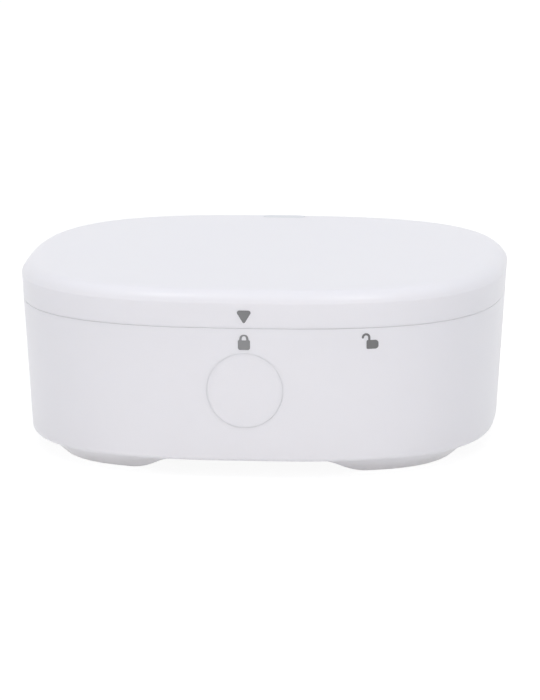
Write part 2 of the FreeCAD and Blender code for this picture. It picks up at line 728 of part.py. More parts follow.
def make_deck():
    body = new_body("deck")
    plate = new_sketch(body, "plate", deck_height)
    draw_rounded_square(plate, lean(ledge_height) + d.lip + d.deck_play)
    pad(body, plate, d.deck_plate)
    collar = new_sketch(body, "collar", deck_height)
    draw_circle(collar, d.collar_radius)
    draw_circle(collar, d.collar_radius - d.collar_wall)
    pad(body, collar, collar_height - deck_height)

    tray = new_sketch(body, "tray", bay_floor - d.bay_wall)
    tray_end, tray_side = bay_end + d.bay_wall, bay_side + d.bay_wall
    draw_rectangle(tray, -tray_end, tray_end, -tray_side, tray_side)
    pad(body, tray, deck_top - bay_floor + d.bay_wall)
    ends = new_sketch(body, "tray_ends", deck_height)
    contact_side = cell_offset + d.contact_width / 2
    for near, far in ((bay_end, tray_end), (-tray_end, -bay_end)):
        draw_rectangle(ends, near, far, -contact_side, contact_side)
    pad(body, ends, bay_end_height - deck_height)

    opening = new_sketch(body, "tray_opening", shelf_height)
    draw_rectangle(opening, -bay_end, bay_end, -bay_side, bay_side)
    pocket(body, opening, d.deck_plate + deck_top, ahead=True)
    trough = new_sketch(body, "trough", plane="YZ_Plane")
    for side in (-cell_offset, cell_offset):
        draw_circle(trough, d.cell_radius + d.cell_play, side, cell_height)
    pocket(body, trough, bay_length, both=True)
    room = new_sketch(body, "contact_room", bay_floor)
    room_side = contact_side + d.contact_play
    inner = bay_end - d.bay_end_room
    for near, far in ((inner, bay_end), (-bay_end, -inner)):
        draw_rectangle(room, near, far, -room_side, room_side)
    pocket(body, room, deck_height, ahead=True)
    tails = new_sketch(body, "tail_slots", bay_floor)
    tail_side = d.tail_width / 2 + d.contact_play
    for side in (-cell_offset, cell_offset):
        near = bay_end - d.contact_sheet - d.contact_play
        draw_rectangle(tails, near, bay_end, side - tail_side, side + tail_side)
    pocket(body, tails, d.bay_wall)

    groove = new_sketch(body, "seal_groove", plane="XZ_Plane")
    groove_radius = skirt_bore - d.seal_rub - d.seal_wire - d.seal_play
    low = seal_height - seal_radius - d.seal_play
    high = seal_height + seal_radius + d.seal_play
    draw_rectangle(groove, groove_radius, skirt_outer, low, high)
    revolve(body, groove, cut=True)

    stand = d.collar_radius + d.catch_stand
    root = d.collar_radius - d.collar_wall / 2
    lug_start, lug_end = d.lug_start - d.lug_arc / 2, d.lug_start + d.lug_arc / 2
    catch_end = lug_start + d.lid_turn - d.catch_margin
    open_stop = lug_end + d.lid_turn + d.stop_play
    catch_sweep = catch_end - catch_start
    bayonet = (
        ("catch", catch_start, catch_sweep, catch_height, collar_height),
        ("closed_stop", catch_start, d.stop_arc, lug_height, catch_height),
        ("open_stop", open_stop, d.stop_arc, lug_height, collar_height),
    )
    made = []
    for name, start, sweep, low, high in bayonet:
        sector = new_sketch(body, name, low)
        draw_sector(sector, root, stand, start, sweep)
        made.append(pad(body, sector, high - low))
    repeat_round(body, made, 4)

    way = new_sketch(body, "screw_way", deck_top)
    draw_circle(way, screw_way, boss_across, boss_across)
    through = pocket(body, way, d.deck_plate)
    sink = new_sketch(body, "screw_sink", deck_top)
    draw_circle(sink, d.screw_head + d.screw_pass, boss_across, boss_across)
    sunk = pocket(body, sink, d.screw_sink)
    repeat_round(body, [through, sunk], 4)
    slot = new_sketch(body, "light_slot", deck_top)
    slot_side = d.light_width / 2 + d.window_play
    slot_half = d.light_thickness / 2 + d.window_play
    low, high = light_reach - slot_half, light_reach + slot_half
    draw_rectangle(slot, -slot_side, slot_side, low, high)
    pocket(body, slot, d.deck_plate)
    return finish(body)


# The lid: a drafted cap with a rounded top edge, and a skirt with four bayonet lugs.


def make_lid_shell():
    body = new_body("lid_shell")
    plan = new_sketch(body, "plan", lid_edge)
    draw_rounded_square(plan, lean(lid_edge))
    cap = pad(body, plan, d.height - lid_edge, taper=d.draft)
    round_edges(body, cap, lies_at(float(d.height)), d.top_round)

    cavity = new_sketch(body, "cavity", lid_edge)
    draw_rounded_square(cavity, lean(lid_edge) + d.lid_wall)
    pocket(body, cavity, lid_ceiling - lid_edge, taper=d.draft, ahead=True)
    into_top = (d.height - lid_ceiling) / 2
    skirt = new_sketch(body, "skirt", skirt_height)
    draw_circle(skirt, skirt_outer)
    draw_circle(skirt, skirt_bore)
    pad(body, skirt, lid_ceiling - skirt_height + into_top)
    press_end = cell_height + d.cell_radius + d.press_gap
    press = new_sketch(body, "press_ring", press_end)
    draw_circle(press, d.press_ring)
    draw_circle(press, d.press_ring - d.press_wall)
    pad(body, press, lid_ceiling - press_end + into_top)

    lug = new_sketch(body, "lug", lug_height)
    lug_inner = d.collar_radius + d.lug_play
    lug_root = skirt_bore + d.skirt_wall / 2
    draw_sector(lug, lug_inner, lug_root, d.lug_start - d.lug_arc / 2, d.lug_arc)
    lug_pad = pad(body, lug, d.lug_thickness)
    repeat_round(body, [lug_pad], 4)
    rib_low = lid_ceiling - d.rib_depth
    rib = new_sketch(body, "rib", rib_low)
    near, far = d.rib_offset - d.rib_thickness / 2, d.rib_offset + d.rib_thickness / 2
    start = leg_of(lug_root, d.rib_offset)
    end = side_reach(lean(lid_ceiling) + d.lid_wall / 2, d.rib_offset)
    draw_rectangle(rib, start, end, near, far)
    draw_rectangle(rib, near, far, start, end)
    rib_pad = pad(body, rib, d.rib_depth + into_top)
    repeat_round(body, [rib_pad], 4)

    window = new_sketch(body, "window", rib_low)
    length = d.window_length + d.window_play * 2
    width = d.window_width + d.window_play * 2
    draw_slot(window, length, width, Size(0.0), window_reach)
    pocket(body, window, d.height, ahead=True)
    return finish(body)


# The status light: a window in the lid, and a light pipe from the board below it.


def make_status_window():
    body = new_body("status_window")
    under = lid_ceiling - d.window_play
    head = new_sketch(body, "head", under - d.window_flange_depth)
    draw_slot(head, d.window_length, d.window_width, Size(0.0), window_reach)
    pad(body, head, d.height - under + d.window_flange_depth)
    rim = new_sketch(body, "rim", under)
    rim_length = d.window_length + d.window_flange * 2
    rim_width = d.window_width + d.window_flange * 2
    draw_slot(rim, rim_length, rim_width, Size(0.0), window_reach)
    pad(body, rim, d.window_flange_depth, back=True)
    blade = new_sketch(body, "blade", under)
    side, half = d.light_width / 2, d.light_thickness / 2
    draw_rectangle(blade, -side, side, light_reach - half, light_reach + half)
    pad(body, blade, under - light_end, back=True)
    return finish(body)


def make_light_pipe():
    body = new_body("light_pipe")
    fan = new_sketch(body, "fan", -(light_reach + d.light_thickness / 2), "XZ_Plane")
    side, foot = d.light_width / 2, d.pipe_foot / 2
    low = board_top + d.lamp_height + d.light_gap
    spread = deck_height - d.deck_plate
    outline = [(-foot, low), (foot, low), (side, spread), (side, pipe_end)]
    outline += [(-side, pipe_end), (-side, spread)]
    draw_polygon(fan, outline)
    pad(body, fan, d.light_thickness)
    rim = new_sketch(body, "rim", deck_top)
    half = d.light_thickness / 2 + d.pipe_flange
    side = side + d.pipe_flange
    draw_rectangle(rim, -side, side, light_reach - half, light_reach + half)
    pad(body, rim, d.pipe_flange_depth)
    return finish(body)


# The cells and their contacts. Each cell points the other way from its neighbour.


def make_cell(label, side):
    """One cell: its nub points towards side times +X, and it lies at side times -Y."""
    body = new_body(label)
    nub_end = bay_end - d.contact_sheet - d.dimple - d.nub_gap
    shoulder = nub_end - d.nub_length
    flat_end = d.cell_length - nub_end
    across = cell_offset if side < 0 else -cell_offset
    can_start = -flat_end if side > 0 else flat_end
    can = new_sketch(body, "can", can_start, "YZ_Plane")
    draw_circle(can, d.cell_radius, across, cell_height)
    barrel = pad(body, can, d.cell_length - d.nub_length, back=side < 0)
    ends = lambda edge: len(edge.Vertexes) == 1
    round_edges(body, barrel, ends, d.cell_edge)
    nub_start = shoulder if side > 0 else -shoulder
    nub = new_sketch(body, "nub", nub_start, "YZ_Plane")
    draw_circle(nub, d.nub_radius, across, cell_height)
    pad(body, nub, d.nub_length, back=side < 0)
    return finish(body)


def add_plate(body, side, low, high):
    """The flat back of a contact, against the tray's end wall."""
    inner = bay_end - d.contact_sheet
    plate = new_sketch(body, "plate", inner if side > 0 else -inner, "YZ_Plane")
    bottom = bay_floor + d.contact_play
    draw_rectangle(plate, low, high, bottom, contact_top)
    pad(body, plate, d.contact_sheet, back=side < 0)


def add_dimple(body, side, across):
    """A pressed nose that meets a cell's nub."""
    inner = bay_end - d.contact_sheet
    nose = new_sketch(body, "dimple", inner if side > 0 else -inner, "YZ_Plane")
    draw_circle(nose, d.dimple_radius, across, cell_height)
    pad(body, nose, d.dimple, back=side > 0)


def add_leaf(body, side, across):
    """A bent leaf spring that meets a cell's flat end."""
    flat_end = d.cell_length - (bay_end - d.contact_sheet - d.dimple - d.nub_gap)
    nose = flat_end + d.leaf_gap
    root = bay_end - d.contact_sheet
    sheet, half = d.contact_sheet, d.leaf_nose / 2
    low, high = cell_height - half, cell_height + half
    outline = [
        (root, low - d.leaf_rise),
        (nose, low),
        (nose, high),
        (root - sheet, high + d.leaf_rise - sheet),
        (root - sheet, high + d.leaf_rise - sheet * 2),
        (nose + sheet, high),
        (nose + sheet, low),
        (root, low - d.leaf_rise + sheet * 1.5),
    ]
    if side < 0:
        outline = [(-x, z) for x, z in outline]
    leaf = new_sketch(body, "leaf", -across, "XZ_Plane")
    draw_polygon(leaf, outline)
    pad(body, leaf, d.leaf_width, both=True)


def add_tail(body, side, across):
    """The tongue that runs from a contact down to the board."""
    inner = bay_end - d.contact_sheet
    tail = new_sketch(body, "tail", inner if side > 0 else -inner, "YZ_Plane")
    half = d.tail_width / 2
    top = bay_floor + d.contact_play * 2
    draw_rectangle(tail, across - half, across + half, board_top + d.tail_gap, top)
    pad(body, tail, d.contact_sheet, back=side < 0)


def make_contacts():
    half = d.contact_width / 2
    positive = new_body("positive_contact")
    add_plate(positive, 1, -cell_offset - half, -cell_offset + half)
    add_dimple(positive, 1, -cell_offset)
    add_tail(positive, 1, -cell_offset)
    finish(positive)
    negative = new_body("negative_contact")
    add_plate(negative, 1, cell_offset - half, cell_offset + half)
    add_leaf(negative, 1, cell_offset)
    add_tail(negative, 1, cell_offset)
    finish(negative)
    bridge = new_body("bridge_contact")
    add_plate(bridge, -1, -cell_offset - half, cell_offset + half)
    add_dimple(bridge, -1, cell_offset)
    add_leaf(bridge, -1, -cell_offset)
    finish(bridge)


# The board and what is soldered to it.


def make_main_board():
    body = new_body("main_board")
    disc = new_sketch(body, "disc", board_height)
    draw_circle(disc, board_radius)
    pad(body, disc, d.board_thickness)
    tab = new_sketch(body, "tab", board_height)
    half = d.tab_width / 2
    draw_rectangle(tab, -half, half, board_radius / 2, tab_reach)
    pad(body, tab, d.board_thickness)
    way = new_sketch(body, "screw_way", board_top)
    draw_circle(way, screw_way, post_across, post_across)
    cut = pocket(body, way, d.board_thickness)
    repeat_round(body, [cut], 4)
    return finish(body)


def set_on_board(label, x, y, length, width, height):
    """A soldered block on the board's upper side, centred on (x, y)."""
    corner = (x - length / 2, y - width / 2, board_top + d.solder)
    return make_block(label, corner, (length, width, height))


def make_board_parts():
    centre = Size(0.0)
    module = (d.module_length, d.module_width, d.module_height)
    set_on_board("radio_module", centre, module_reach, *module)
    chip = (d.chip_size, d.chip_size, d.chip_height)
    set_on_board("microcontroller", -d.chip_across, -d.chip_back, *chip)
    crystal = (d.crystal_width, d.crystal_length, d.chip_height)
    set_on_board("clock_crystal", -d.crystal_across, -d.chip_back, *crystal)
    lamp = (d.lamp_length, d.lamp_width, d.lamp_height)
    set_on_board("thermistor", -sense_across, -d.sense_back, *lamp)
    set_on_board("status_led", centre, light_reach, *lamp)

    can = new_body("radio_can")
    under = board_top + d.solder * 2 + d.module_height
    plan = new_sketch(can, "plan", under)
    side, half = d.can_length / 2, d.can_width / 2
    draw_rectangle(plan, -side, side, module_reach - half, module_reach + half)
    block = pad(can, plan, d.can_height)
    round_edges(can, block, lies_at(float(under + d.can_height)), d.can_edge)
    finish(can)

    capacitor = new_body("capacitor")
    low = board_top + d.solder
    round_plan = new_sketch(capacitor, "plan", low)
    draw_circle(round_plan, d.capacitor_radius, d.capacitor_across, -capacitor_back)
    drum = pad(capacitor, round_plan, d.capacitor_height)
    top = float(low + d.capacitor_height)
    round_edges(capacitor, drum, lies_at(top), d.can_edge)
    finish(capacitor)

    antenna = new_body("antenna")
    strip = new_sketch(antenna, "strip", low)
    outer = board_radius - d.antenna_inset
    start, sweep = Size(180.0) - d.antenna_arc / 2, d.antenna_arc
    draw_sector(strip, outer - d.antenna_sheet, outer, start, sweep)
    pad(antenna, strip, d.antenna_height)
    finish(antenna)


def make_switch():
    body = new_body("tact_switch")
    back = switch_front - d.switch_depth
    case = new_sketch(body, "case", back, "XZ_Plane")
    half = d.switch_size / 2
    draw_rectangle(case, -half, half, board_top, button_height + half)
    pad(body, case, d.switch_depth)
    way = new_sketch(body, "plunger_way", switch_front, "XZ_Plane")
    draw_circle(way, d.plunger_radius + d.plunger_play, 0.0, button_height)
    inside = d.plunger_length - d.plunger_stand
    pocket(body, way, inside + d.button_travel + d.plunger_spare)
    finish(body)
    plunger = new_body("switch_plunger")
    end = new_sketch(plunger, "end", switch_front - inside, "XZ_Plane")
    draw_circle(end, d.plunger_radius, 0.0, button_height)
    pad(plunger, end, d.plunger_length)
    finish(plunger)


# The button: a hollow cap whose face follows the wall, with a flange behind the wall.


def make_button():
    blank = new_body("button_blank")
    flange = new_sketch(blank, "flange", flange_back, "XZ_Plane")
    draw_circle(flange, button_bore + d.flange_lip, 0.0, button_height)
    pad(blank, flange, d.flange_thickness)
    barrel = new_sketch(blank, "barrel", flange_back, "XZ_Plane")
    draw_circle(barrel, d.button_radius, 0.0, button_height)
    pad(blank, barrel, half_width + d.cap_face - flange_back)
    hollow = new_sketch(blank, "hollow", flange_back, "XZ_Plane")
    draw_circle(hollow, d.button_radius - d.cap_wall, 0.0, button_height)
    face_back = button_face - d.cap_face
    pocket(blank, hollow, face_back - flange_back, ahead=True)
    stem = new_sketch(blank, "stem", stem_reach, "XZ_Plane")
    draw_circle(stem, d.stem_radius, 0.0, button_height)
    pad(blank, stem, face_back - stem_reach + d.cap_face / 2)
    groove = new_sketch(blank, "groove", seal_reach - groove_half, "XZ_Plane")
    draw_circle(groove, button_bore, 0.0, button_height)
    groove_radius = button_bore - d.seal_rub - d.button_seal - d.seal_play
    draw_circle(groove, groove_radius, 0.0, button_height)
    pocket(blank, groove, groove_half * 2, ahead=True)

    outline = new_body("wall_outline")
    outer_block(outline, rim_height)
    flush = doc.addObject("Part::MultiCommon", "flush_cap")
    flush.Shapes = [blank, outline]
    doc.recompute()
    cap = doc.addObject("Part::Fillet", "button_cap")
    cap.Label = "button_cap"
    cap.Base = flush
    ahead = -float(button_face - d.cap_face / 2)
    edges = enumerate(flush.Shape.Edges, 1)
    rim = [i for i, e in edges if e.BoundBox.YMax < ahead and e.Length > 1.0]
    cap.Edges = [(i, float(d.button_edge), float(d.button_edge)) for i in rim]
    finish(cap)


def make_seals():
    lid_seal = doc.addObject("Part::Torus", "collar_seal")
    bind(lid_seal, "Radius1", skirt_bore - d.seal_rub - seal_radius)
    bind(lid_seal, "Radius2", seal_radius)
    lid_seal.Placement.Base.z = float(seal_height)
    lid_seal.setExpression("Placement.Base.z", seal_height.formula)
    finish(lid_seal)
    cap_seal = doc.addObject("Part::Torus", "button_seal")
    bind(cap_seal, "Radius1", button_bore - d.seal_rub - d.button_seal / 2)
    bind(cap_seal, "Radius2", d.button_seal / 2)
    spot = Vector(0, -float(seal_reach), float(button_height))
    cap_seal.Placement = Placement(spot, Rotation(Vector(1, 0, 0), 90))
    cap_seal.setExpression("Placement.Base.y", (-seal_reach).formula)
    cap_seal.setExpression("Placement.Base.z", button_height.formula)
    finish(cap_seal)

    gasket = new_body("deck_gasket")
    ring = new_sketch(gasket, "ring", ledge_height)
    inset = lean(ledge_height) + d.lip + d.deck_play
    draw_rounded_square(ring, inset)
    draw_rounded_square(ring, inset + d.gasket_width)
    pad(gasket, ring, d.gasket_thickness)
    finish(gasket)


# Sounder, probes and the springs that reach them from the board.


def make_disc(label, radius, height, thickness):
    body = new_body(label)
    plan = new_sketch(body, "plan", height)
    draw_circle(plan, radius)
    pad(body, plan, thickness)
    return finish(body)


def make_probes():
    studs = new_body("probe_studs")
    shank = new_sketch(studs, "shank", d.probe_clear)
    draw_circle(shank, d.probe_shank, probe_across, probe_across)
    pin = pad(studs, shank, probe_top - d.probe_clear)
    round_edges(studs, pin, lies_at(float(d.probe_clear)), d.probe_tip)
    head = new_sketch(studs, "head", probe_seat)
    draw_circle(head, d.probe_head, probe_across, probe_across)
    pad(studs, head, d.probe_head_height)
    repeat_round(studs, [], 4)
    finish(studs)

    seals = new_body("probe_seals")
    washer = new_sketch(seals, "washer", floor_top)
    draw_circle(washer, d.probe_head, probe_across, probe_across)
    draw_circle(washer, d.probe_shank + d.probe_play, probe_across, probe_across)
    pad(seals, washer, d.washer_thickness)
    repeat_round(seals, [], 4)
    finish(seals)


def draw_clip(sketch, x, low):
    """A folded spring seen from the side: fixed under the board, resting below it."""
    half, sheet = d.clip_reach / 2, d.clip_sheet
    top = board_height - d.solder
    draw_polygon(sketch, [
        (x - half, top),
        (x - half, top - sheet),
        (x + half - sheet * 2, top - sheet),
        (x - half, low + sheet),
        (x - half, low),
        (x + half, low),
        (x + half, low + sheet),
        (x - half + sheet * 2, low + sheet),
        (x + half, top - sheet),
        (x + half, top),
    ])


def make_clips():
    probes = new_body("probe_contacts")
    clip = new_sketch(probes, "clip", probe_across, "XZ_Plane")
    draw_clip(clip, probe_across, probe_top + d.clip_gap)
    pad(probes, clip, d.clip_width, both=True)
    repeat_round(probes, [], 4)
    finish(probes)
    sounder = new_body("sounder_contacts")
    plate_top = sounder_height + d.sounder_plate
    centre_clip = new_sketch(sounder, "centre_clip", plane="XZ_Plane")
    draw_clip(centre_clip, Size(0.0), plate_top + d.ceramic_thickness + d.clip_gap)
    pad(sounder, centre_clip, d.clip_width, both=True)
    rim_clip = new_sketch(sounder, "rim_clip", plane="XZ_Plane")
    rim = (d.sounder_radius + d.ceramic_radius) / 2
    draw_clip(rim_clip, rim, plate_top + d.clip_gap)
    pad(sounder, rim_clip, d.clip_width, both=True)
    finish(sounder)


def make_screws(label, across, seat):
    """Four cross-head screws in a square, each in its own boss."""
    body = new_body(label)
    head = new_sketch(body, "head", seat)
    draw_circle(head, d.screw_head, across, across)
    disc = pad(body, head, d.screw_head_height)
    top = seat + d.screw_head_height
    round_edges(body, disc, lies_at(float(top)), d.screw_edge)
    shank = new_sketch(body, "shank", seat)
    draw_circle(shank, d.screw_radius, across, across)
    pad(body, shank, d.screw_length, back=True)
    cross = new_sketch(body, "cross", top)
    long, thin = d.screw_head * 0.6, d.screw_slot / 2
    draw_polygon(cross, [
        (across + thin, across + thin),
        (across + thin, across + long),
        (across - thin, across + long),
        (across - thin, across + thin),
        (across - long, across + thin),
        (across - long, across - thin),
        (across - thin, across - thin),
        (across - thin, across - long),
        (across + thin, across - long),
        (across + thin, across - thin),
        (across + long, across - thin),
        (across + long, across + thin),
    ])
    pocket(body, cross, d.screw_slot)
    repeat_round(body, [], 4)
    finish(body)


make_base_housing()
make_deck()
make_lid_shell()
make_status_window()
make_light_pipe()
make_cell("battery_front", 1)
make_cell("battery_rear", -1)
make_contacts()
make_main_board()
make_board_parts()
make_switch()
make_button()
make_seals()
make_disc("sound_membrane", d.membrane_radius, floor_top, d.membrane_thickness)
make_disc("sounder_plate", d.sounder_radius, sounder_height, d.sounder_plate)
ceramic_height = sounder_height + d.sounder_plate
make_disc("sounder_ceramic", d.ceramic_radius, ceramic_height, d.ceramic_thickness)
make_probes()
make_clips()
make_screws("deck_screws", boss_across, head_seat)
make_screws("board_screws", post_across, board_top)

# Nothing is written unless every object is sound.
doc.recompute()
failed = [o.Name for o in doc.Objects if {"Invalid", "Error"} & set(o.State)]
loose = [o.Name for o in doc.Objects if hasattr(o, "Geometry") and not o.FullyConstrained]
if failed or loose:
    raise ValueError(f"failed objects: {failed}; sketches not fixed: {loose}")
for piece in finished:
    if piece.Shape.isNull() or not piece.Shape.isValid() or not piece.Shape.Solids:
        raise ValueError(f"{piece.Label} has no sound solid")

os.makedirs("parts", exist_ok=True)
for piece in finished:
    piece.Shape.exportStep(f"parts/{piece.Label}.step")
    print(f"{piece.Label}: {len(piece.Shape.Solids)} solids, {piece.Shape.Volume:.1f} mm3")
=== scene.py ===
# %% [markdown]
# # A water leak sensor in white plastic
# The sensor is a rounded-square puck, 78 mm across and just under 30 mm tall. A twist-off
# lid closes it, a round button sits flush in its front wall, and four low feet let water
# run in under it to the metal probes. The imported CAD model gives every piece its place,
# in metres, with the front towards -Y. This script gives the pieces their looks. Sizes in
# it are in millimetres unless it says otherwise, and MM turns them into metres.

# %% Load the fixed frame
import json
import math

import bmesh
import bpy
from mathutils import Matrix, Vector


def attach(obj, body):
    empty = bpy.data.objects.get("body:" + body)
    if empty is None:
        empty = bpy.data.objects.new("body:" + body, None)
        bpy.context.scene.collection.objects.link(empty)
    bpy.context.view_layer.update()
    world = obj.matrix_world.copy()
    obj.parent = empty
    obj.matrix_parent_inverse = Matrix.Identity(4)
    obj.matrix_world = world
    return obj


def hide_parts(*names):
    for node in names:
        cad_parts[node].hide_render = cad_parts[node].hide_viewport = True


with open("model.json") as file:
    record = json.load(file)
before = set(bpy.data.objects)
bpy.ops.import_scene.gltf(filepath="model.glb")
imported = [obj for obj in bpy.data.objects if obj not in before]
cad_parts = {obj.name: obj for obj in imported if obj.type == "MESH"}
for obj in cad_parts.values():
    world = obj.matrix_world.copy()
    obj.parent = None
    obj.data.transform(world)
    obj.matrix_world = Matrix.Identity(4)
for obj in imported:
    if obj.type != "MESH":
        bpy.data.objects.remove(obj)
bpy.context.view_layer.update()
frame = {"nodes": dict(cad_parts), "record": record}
MM = 0.001
IN_MM = 1.0 / MM
print("nodes in the frame:", len(frame["nodes"]))

# %% [markdown]
# ## The camera
# The camera comes first, because every later choice is judged through it. It stands a
# metre away with a long lens, so that the walls hardly converge, a little to the right of
# the front and ten degrees up. It looks at a point just beside the middle of the sensor,
# which puts the object where the picture's layout has it without any lens shift.

# %% Set up the camera
DISTANCE, NEAREST = 1.0, 0.01  # in metres
ELEVATION = math.radians(10.34)
AZIMUTH = math.radians(5.06)
LENS = 315.7  # the focal length, over a sensor 36 mm wide
MIDDLE = Vector((0.0, 0.0, 15.55 * MM))
AIM_OFFSET = Vector((0.65 * MM, -2.0 * MM, 0.0))


def place_camera():
    outward = Vector((math.sin(AZIMUTH), -math.cos(AZIMUTH), math.tan(ELEVATION)))
    turn = (-outward).to_track_quat("-Z", "Y")
    aim = MIDDLE + turn @ AIM_OFFSET
    place = MIDDLE + outward.normalized() * DISTANCE
    data = bpy.data.cameras.new("camera")
    data.lens = LENS
    data.clip_start = NEAREST
    camera = bpy.data.objects.new("camera", data)
    camera.location = place
    camera.rotation_euler = (aim - place).to_track_quat("-Z", "Y").to_euler()
    bpy.context.scene.collection.objects.link(camera)
    bpy.context.scene.camera = camera
    return camera


camera = place_camera()
bpy.context.scene.view_settings.view_transform = "Standard"
print("camera at", tuple(round(v, 3) for v in camera.location))

# %% [markdown]
# ## Light and background
# White plastic shows its form only through small steps of grey, so the light is even: a
# plain white world, a wide lamp overhead and a little behind, a wide low one in front that
# fills the walls and the feet, and two narrow ones that leave a short glint each on the
# lid's front edge. A white background could come from brighter light, but that would wash
# the plastic out. Here the world lights the sensor at one level and shows itself to the
# camera at another, through the Light Path node.

# %% Helpers that mix shaders
WHITE = (1.0, 1.0, 1.0, 1.0)


def unlit_rays(nodes, links, share=1.0):
    """A factor that is share for camera, glossy and transmission rays, and else 0."""
    path = nodes.new("ShaderNodeLightPath")
    total = path.outputs["Is Camera Ray"]
    for kind in ("Is Glossy Ray", "Is Transmission Ray"):
        most = nodes.new("ShaderNodeMath")
        most.operation = "MAXIMUM"
        links.new(total, most.inputs[0])
        links.new(path.outputs[kind], most.inputs[1])
        total = most.outputs[0]
    part = nodes.new("ShaderNodeMath")
    part.operation = "MULTIPLY"
    part.inputs[1].default_value = share
    links.new(total, part.inputs[0])
    return part.outputs[0]


def mix_shaders(nodes, links, factor, first, second):
    """A shader that is the first at a factor of 0 and the second at 1."""
    mix = nodes.new("ShaderNodeMixShader")
    for source, socket in zip((factor, first, second), mix.inputs):
        links.new(source, socket)
    return mix.outputs[0]


# %% Light the stage
WORLD_LEVEL, WORLD_COLOUR = 0.475, (0.965, 0.98, 1.02, 1.0)
PLAIN, COOL, WARM = (1.0, 1.0, 1.0), (0.96, 1.0, 1.12), (1.03, 1.0, 0.99)
LAMPS = {
    # name: (azimuth and elevation in degrees, distance, width and height in metres,
    # watts, colour)
    "overhead_lamp": (180.0, 81.0, 1.6, 3.0, 2.8, 14.0, COOL),
    "front_fill": (-2.0, 5.0, 1.4, 4.0, 0.3, 8.45, WARM),
    "left_glint": (-90.0, 75.0, 1.1, 0.12, 0.3, 0.9, PLAIN),
    "right_glint": (63.0, 73.0, 1.1, 0.12, 0.3, 1.1, PLAIN),
}


def light_world():
    world = bpy.data.worlds.new("studio")
    bpy.context.scene.world = world
    world.use_nodes = True
    nodes, links = world.node_tree.nodes, world.node_tree.links
    plain = nodes["Background"]
    plain.inputs["Color"].default_value = WORLD_COLOUR
    plain.inputs["Strength"].default_value = WORLD_LEVEL
    seen = nodes.new("ShaderNodeBackground")
    seen.inputs["Color"].default_value = WHITE
    both = mix_shaders(nodes, links, unlit_rays(nodes, links), plain.outputs[0], seen.outputs[0])
    links.new(both, nodes["World Output"].inputs["Surface"])


def add_lamp(name, azimuth, elevation, distance, width, height, watts, colour):
    data = bpy.data.lights.new(name, "AREA")
    data.shape = "ELLIPSE"
    data.size, data.size_y = width, height
    data.energy, data.color = watts, colour
    lamp = bpy.data.objects.new(name, data)
    side, rise = math.radians(azimuth), math.radians(elevation)
    outward = Vector(
        (math.sin(side) * math.cos(rise), -math.cos(side) * math.cos(rise), math.sin(rise))
    )
    lamp.location = MIDDLE + outward * distance
    lamp.rotation_euler = (-outward).to_track_quat("-Z", "Y").to_euler()
    bpy.context.scene.collection.objects.link(lamp)


light_world()
for lamp_name, lamp_facts in LAMPS.items():
    add_lamp(lamp_name, *lamp_facts)
print("lamps:", ", ".join(LAMPS))

# %% [markdown]
# ## The floor
# The sensor stands on a pale floor that runs out of sight. Its colour is nearly white, and
# to the camera a share of it glows, which takes it to white and leaves the soft shadow
# faint. It lies a fiftieth of a millimetre under the feet, so that the two don't share one
# plane, and it is clear from below, so that the underside can be looked at.

# %% Lay the floor
FLOOR_HALF, FLOOR_DROP = 3.0, 0.02 * MM  # in metres
FLOOR_COLOUR, FLOOR_ROUGHNESS, FLOOR_SPECULAR = (0.95, 0.95, 0.95, 1.0), 0.9, 0.1
GLOW_SHARE, GLOW_LEVEL = 0.85, 1.08


def box(left, right, near, far):
    """The outline of a rectangle."""
    return [(left, near), (right, near), (right, far), (left, far)]


def floor_paint():
    paint = bpy.data.materials.new("pale_floor")
    paint.use_nodes = True
    nodes, links = paint.node_tree.nodes, paint.node_tree.links
    matt = nodes["Principled BSDF"]
    matt.inputs["Base Color"].default_value = FLOOR_COLOUR
    matt.inputs["Roughness"].default_value = FLOOR_ROUGHNESS
    matt.inputs["Specular IOR Level"].default_value = FLOOR_SPECULAR
    glow = nodes.new("ShaderNodeEmission")
    glow.inputs["Strength"].default_value = GLOW_LEVEL
    glowing = unlit_rays(nodes, links, GLOW_SHARE)
    upper = mix_shaders(nodes, links, glowing, matt.outputs[0], glow.outputs[0])
    below = nodes.new("ShaderNodeNewGeometry").outputs["Backfacing"]
    clear = nodes.new("ShaderNodeBsdfTransparent").outputs[0]
    one_sided = mix_shaders(nodes, links, below, upper, clear)
    links.new(one_sided, nodes["Material Output"].inputs["Surface"])
    return paint


def lay_floor():
    mesh = bpy.data.meshes.new("floor")
    outline = box(-FLOOR_HALF, FLOOR_HALF, -FLOOR_HALF, FLOOR_HALF)
    mesh.from_pydata([(x, y, -FLOOR_DROP) for x, y in outline], [], [(0, 1, 2, 3)])
    mesh.materials.append(floor_paint())
    floor = bpy.data.objects.new("floor", mesh)
    bpy.context.scene.collection.objects.link(floor)


lay_floor()
print("floor:", 2 * FLOOR_HALF, "m across")

# %% [markdown]
# ## Finishes
# A real surface is never one flat colour. Each finish here has a base colour that drifts
# a little, a roughness that drifts with it, and a bump at the scale of its real texture:
# the fine spark-eroded grain of a mould, drawn lines on sheet metal, tracks under green
# lacquer. Pictures of surfaces could give that, but they need unwrapping and end at their
# own sharpness. So all patterns are worked out from the piece's own coordinates in metres,
# where a grain of a third of a millimetre has a scale of about 3000.

# %% The patterns that a finish is made of
DRIFT_SCALE, DRIFT_DETAIL, GRAIN_DETAIL = 60.0, 3.0, 2.0
NOISE_RANGE = (0.3, 0.7)  # where nearly all values of a noise lie
LINE_PATTERNS = {"tracks": "ShaderNodeTexBrick", "weave": "ShaderNodeTexWave"}
LINE_SHADE = 0.6
BUMP_DEPTH = 0.1 * MM
FACTOR, FIRST_COLOUR, SECOND_COLOUR, MIXED_COLOUR = 0, 6, 7, 2  # a Mix node's sockets


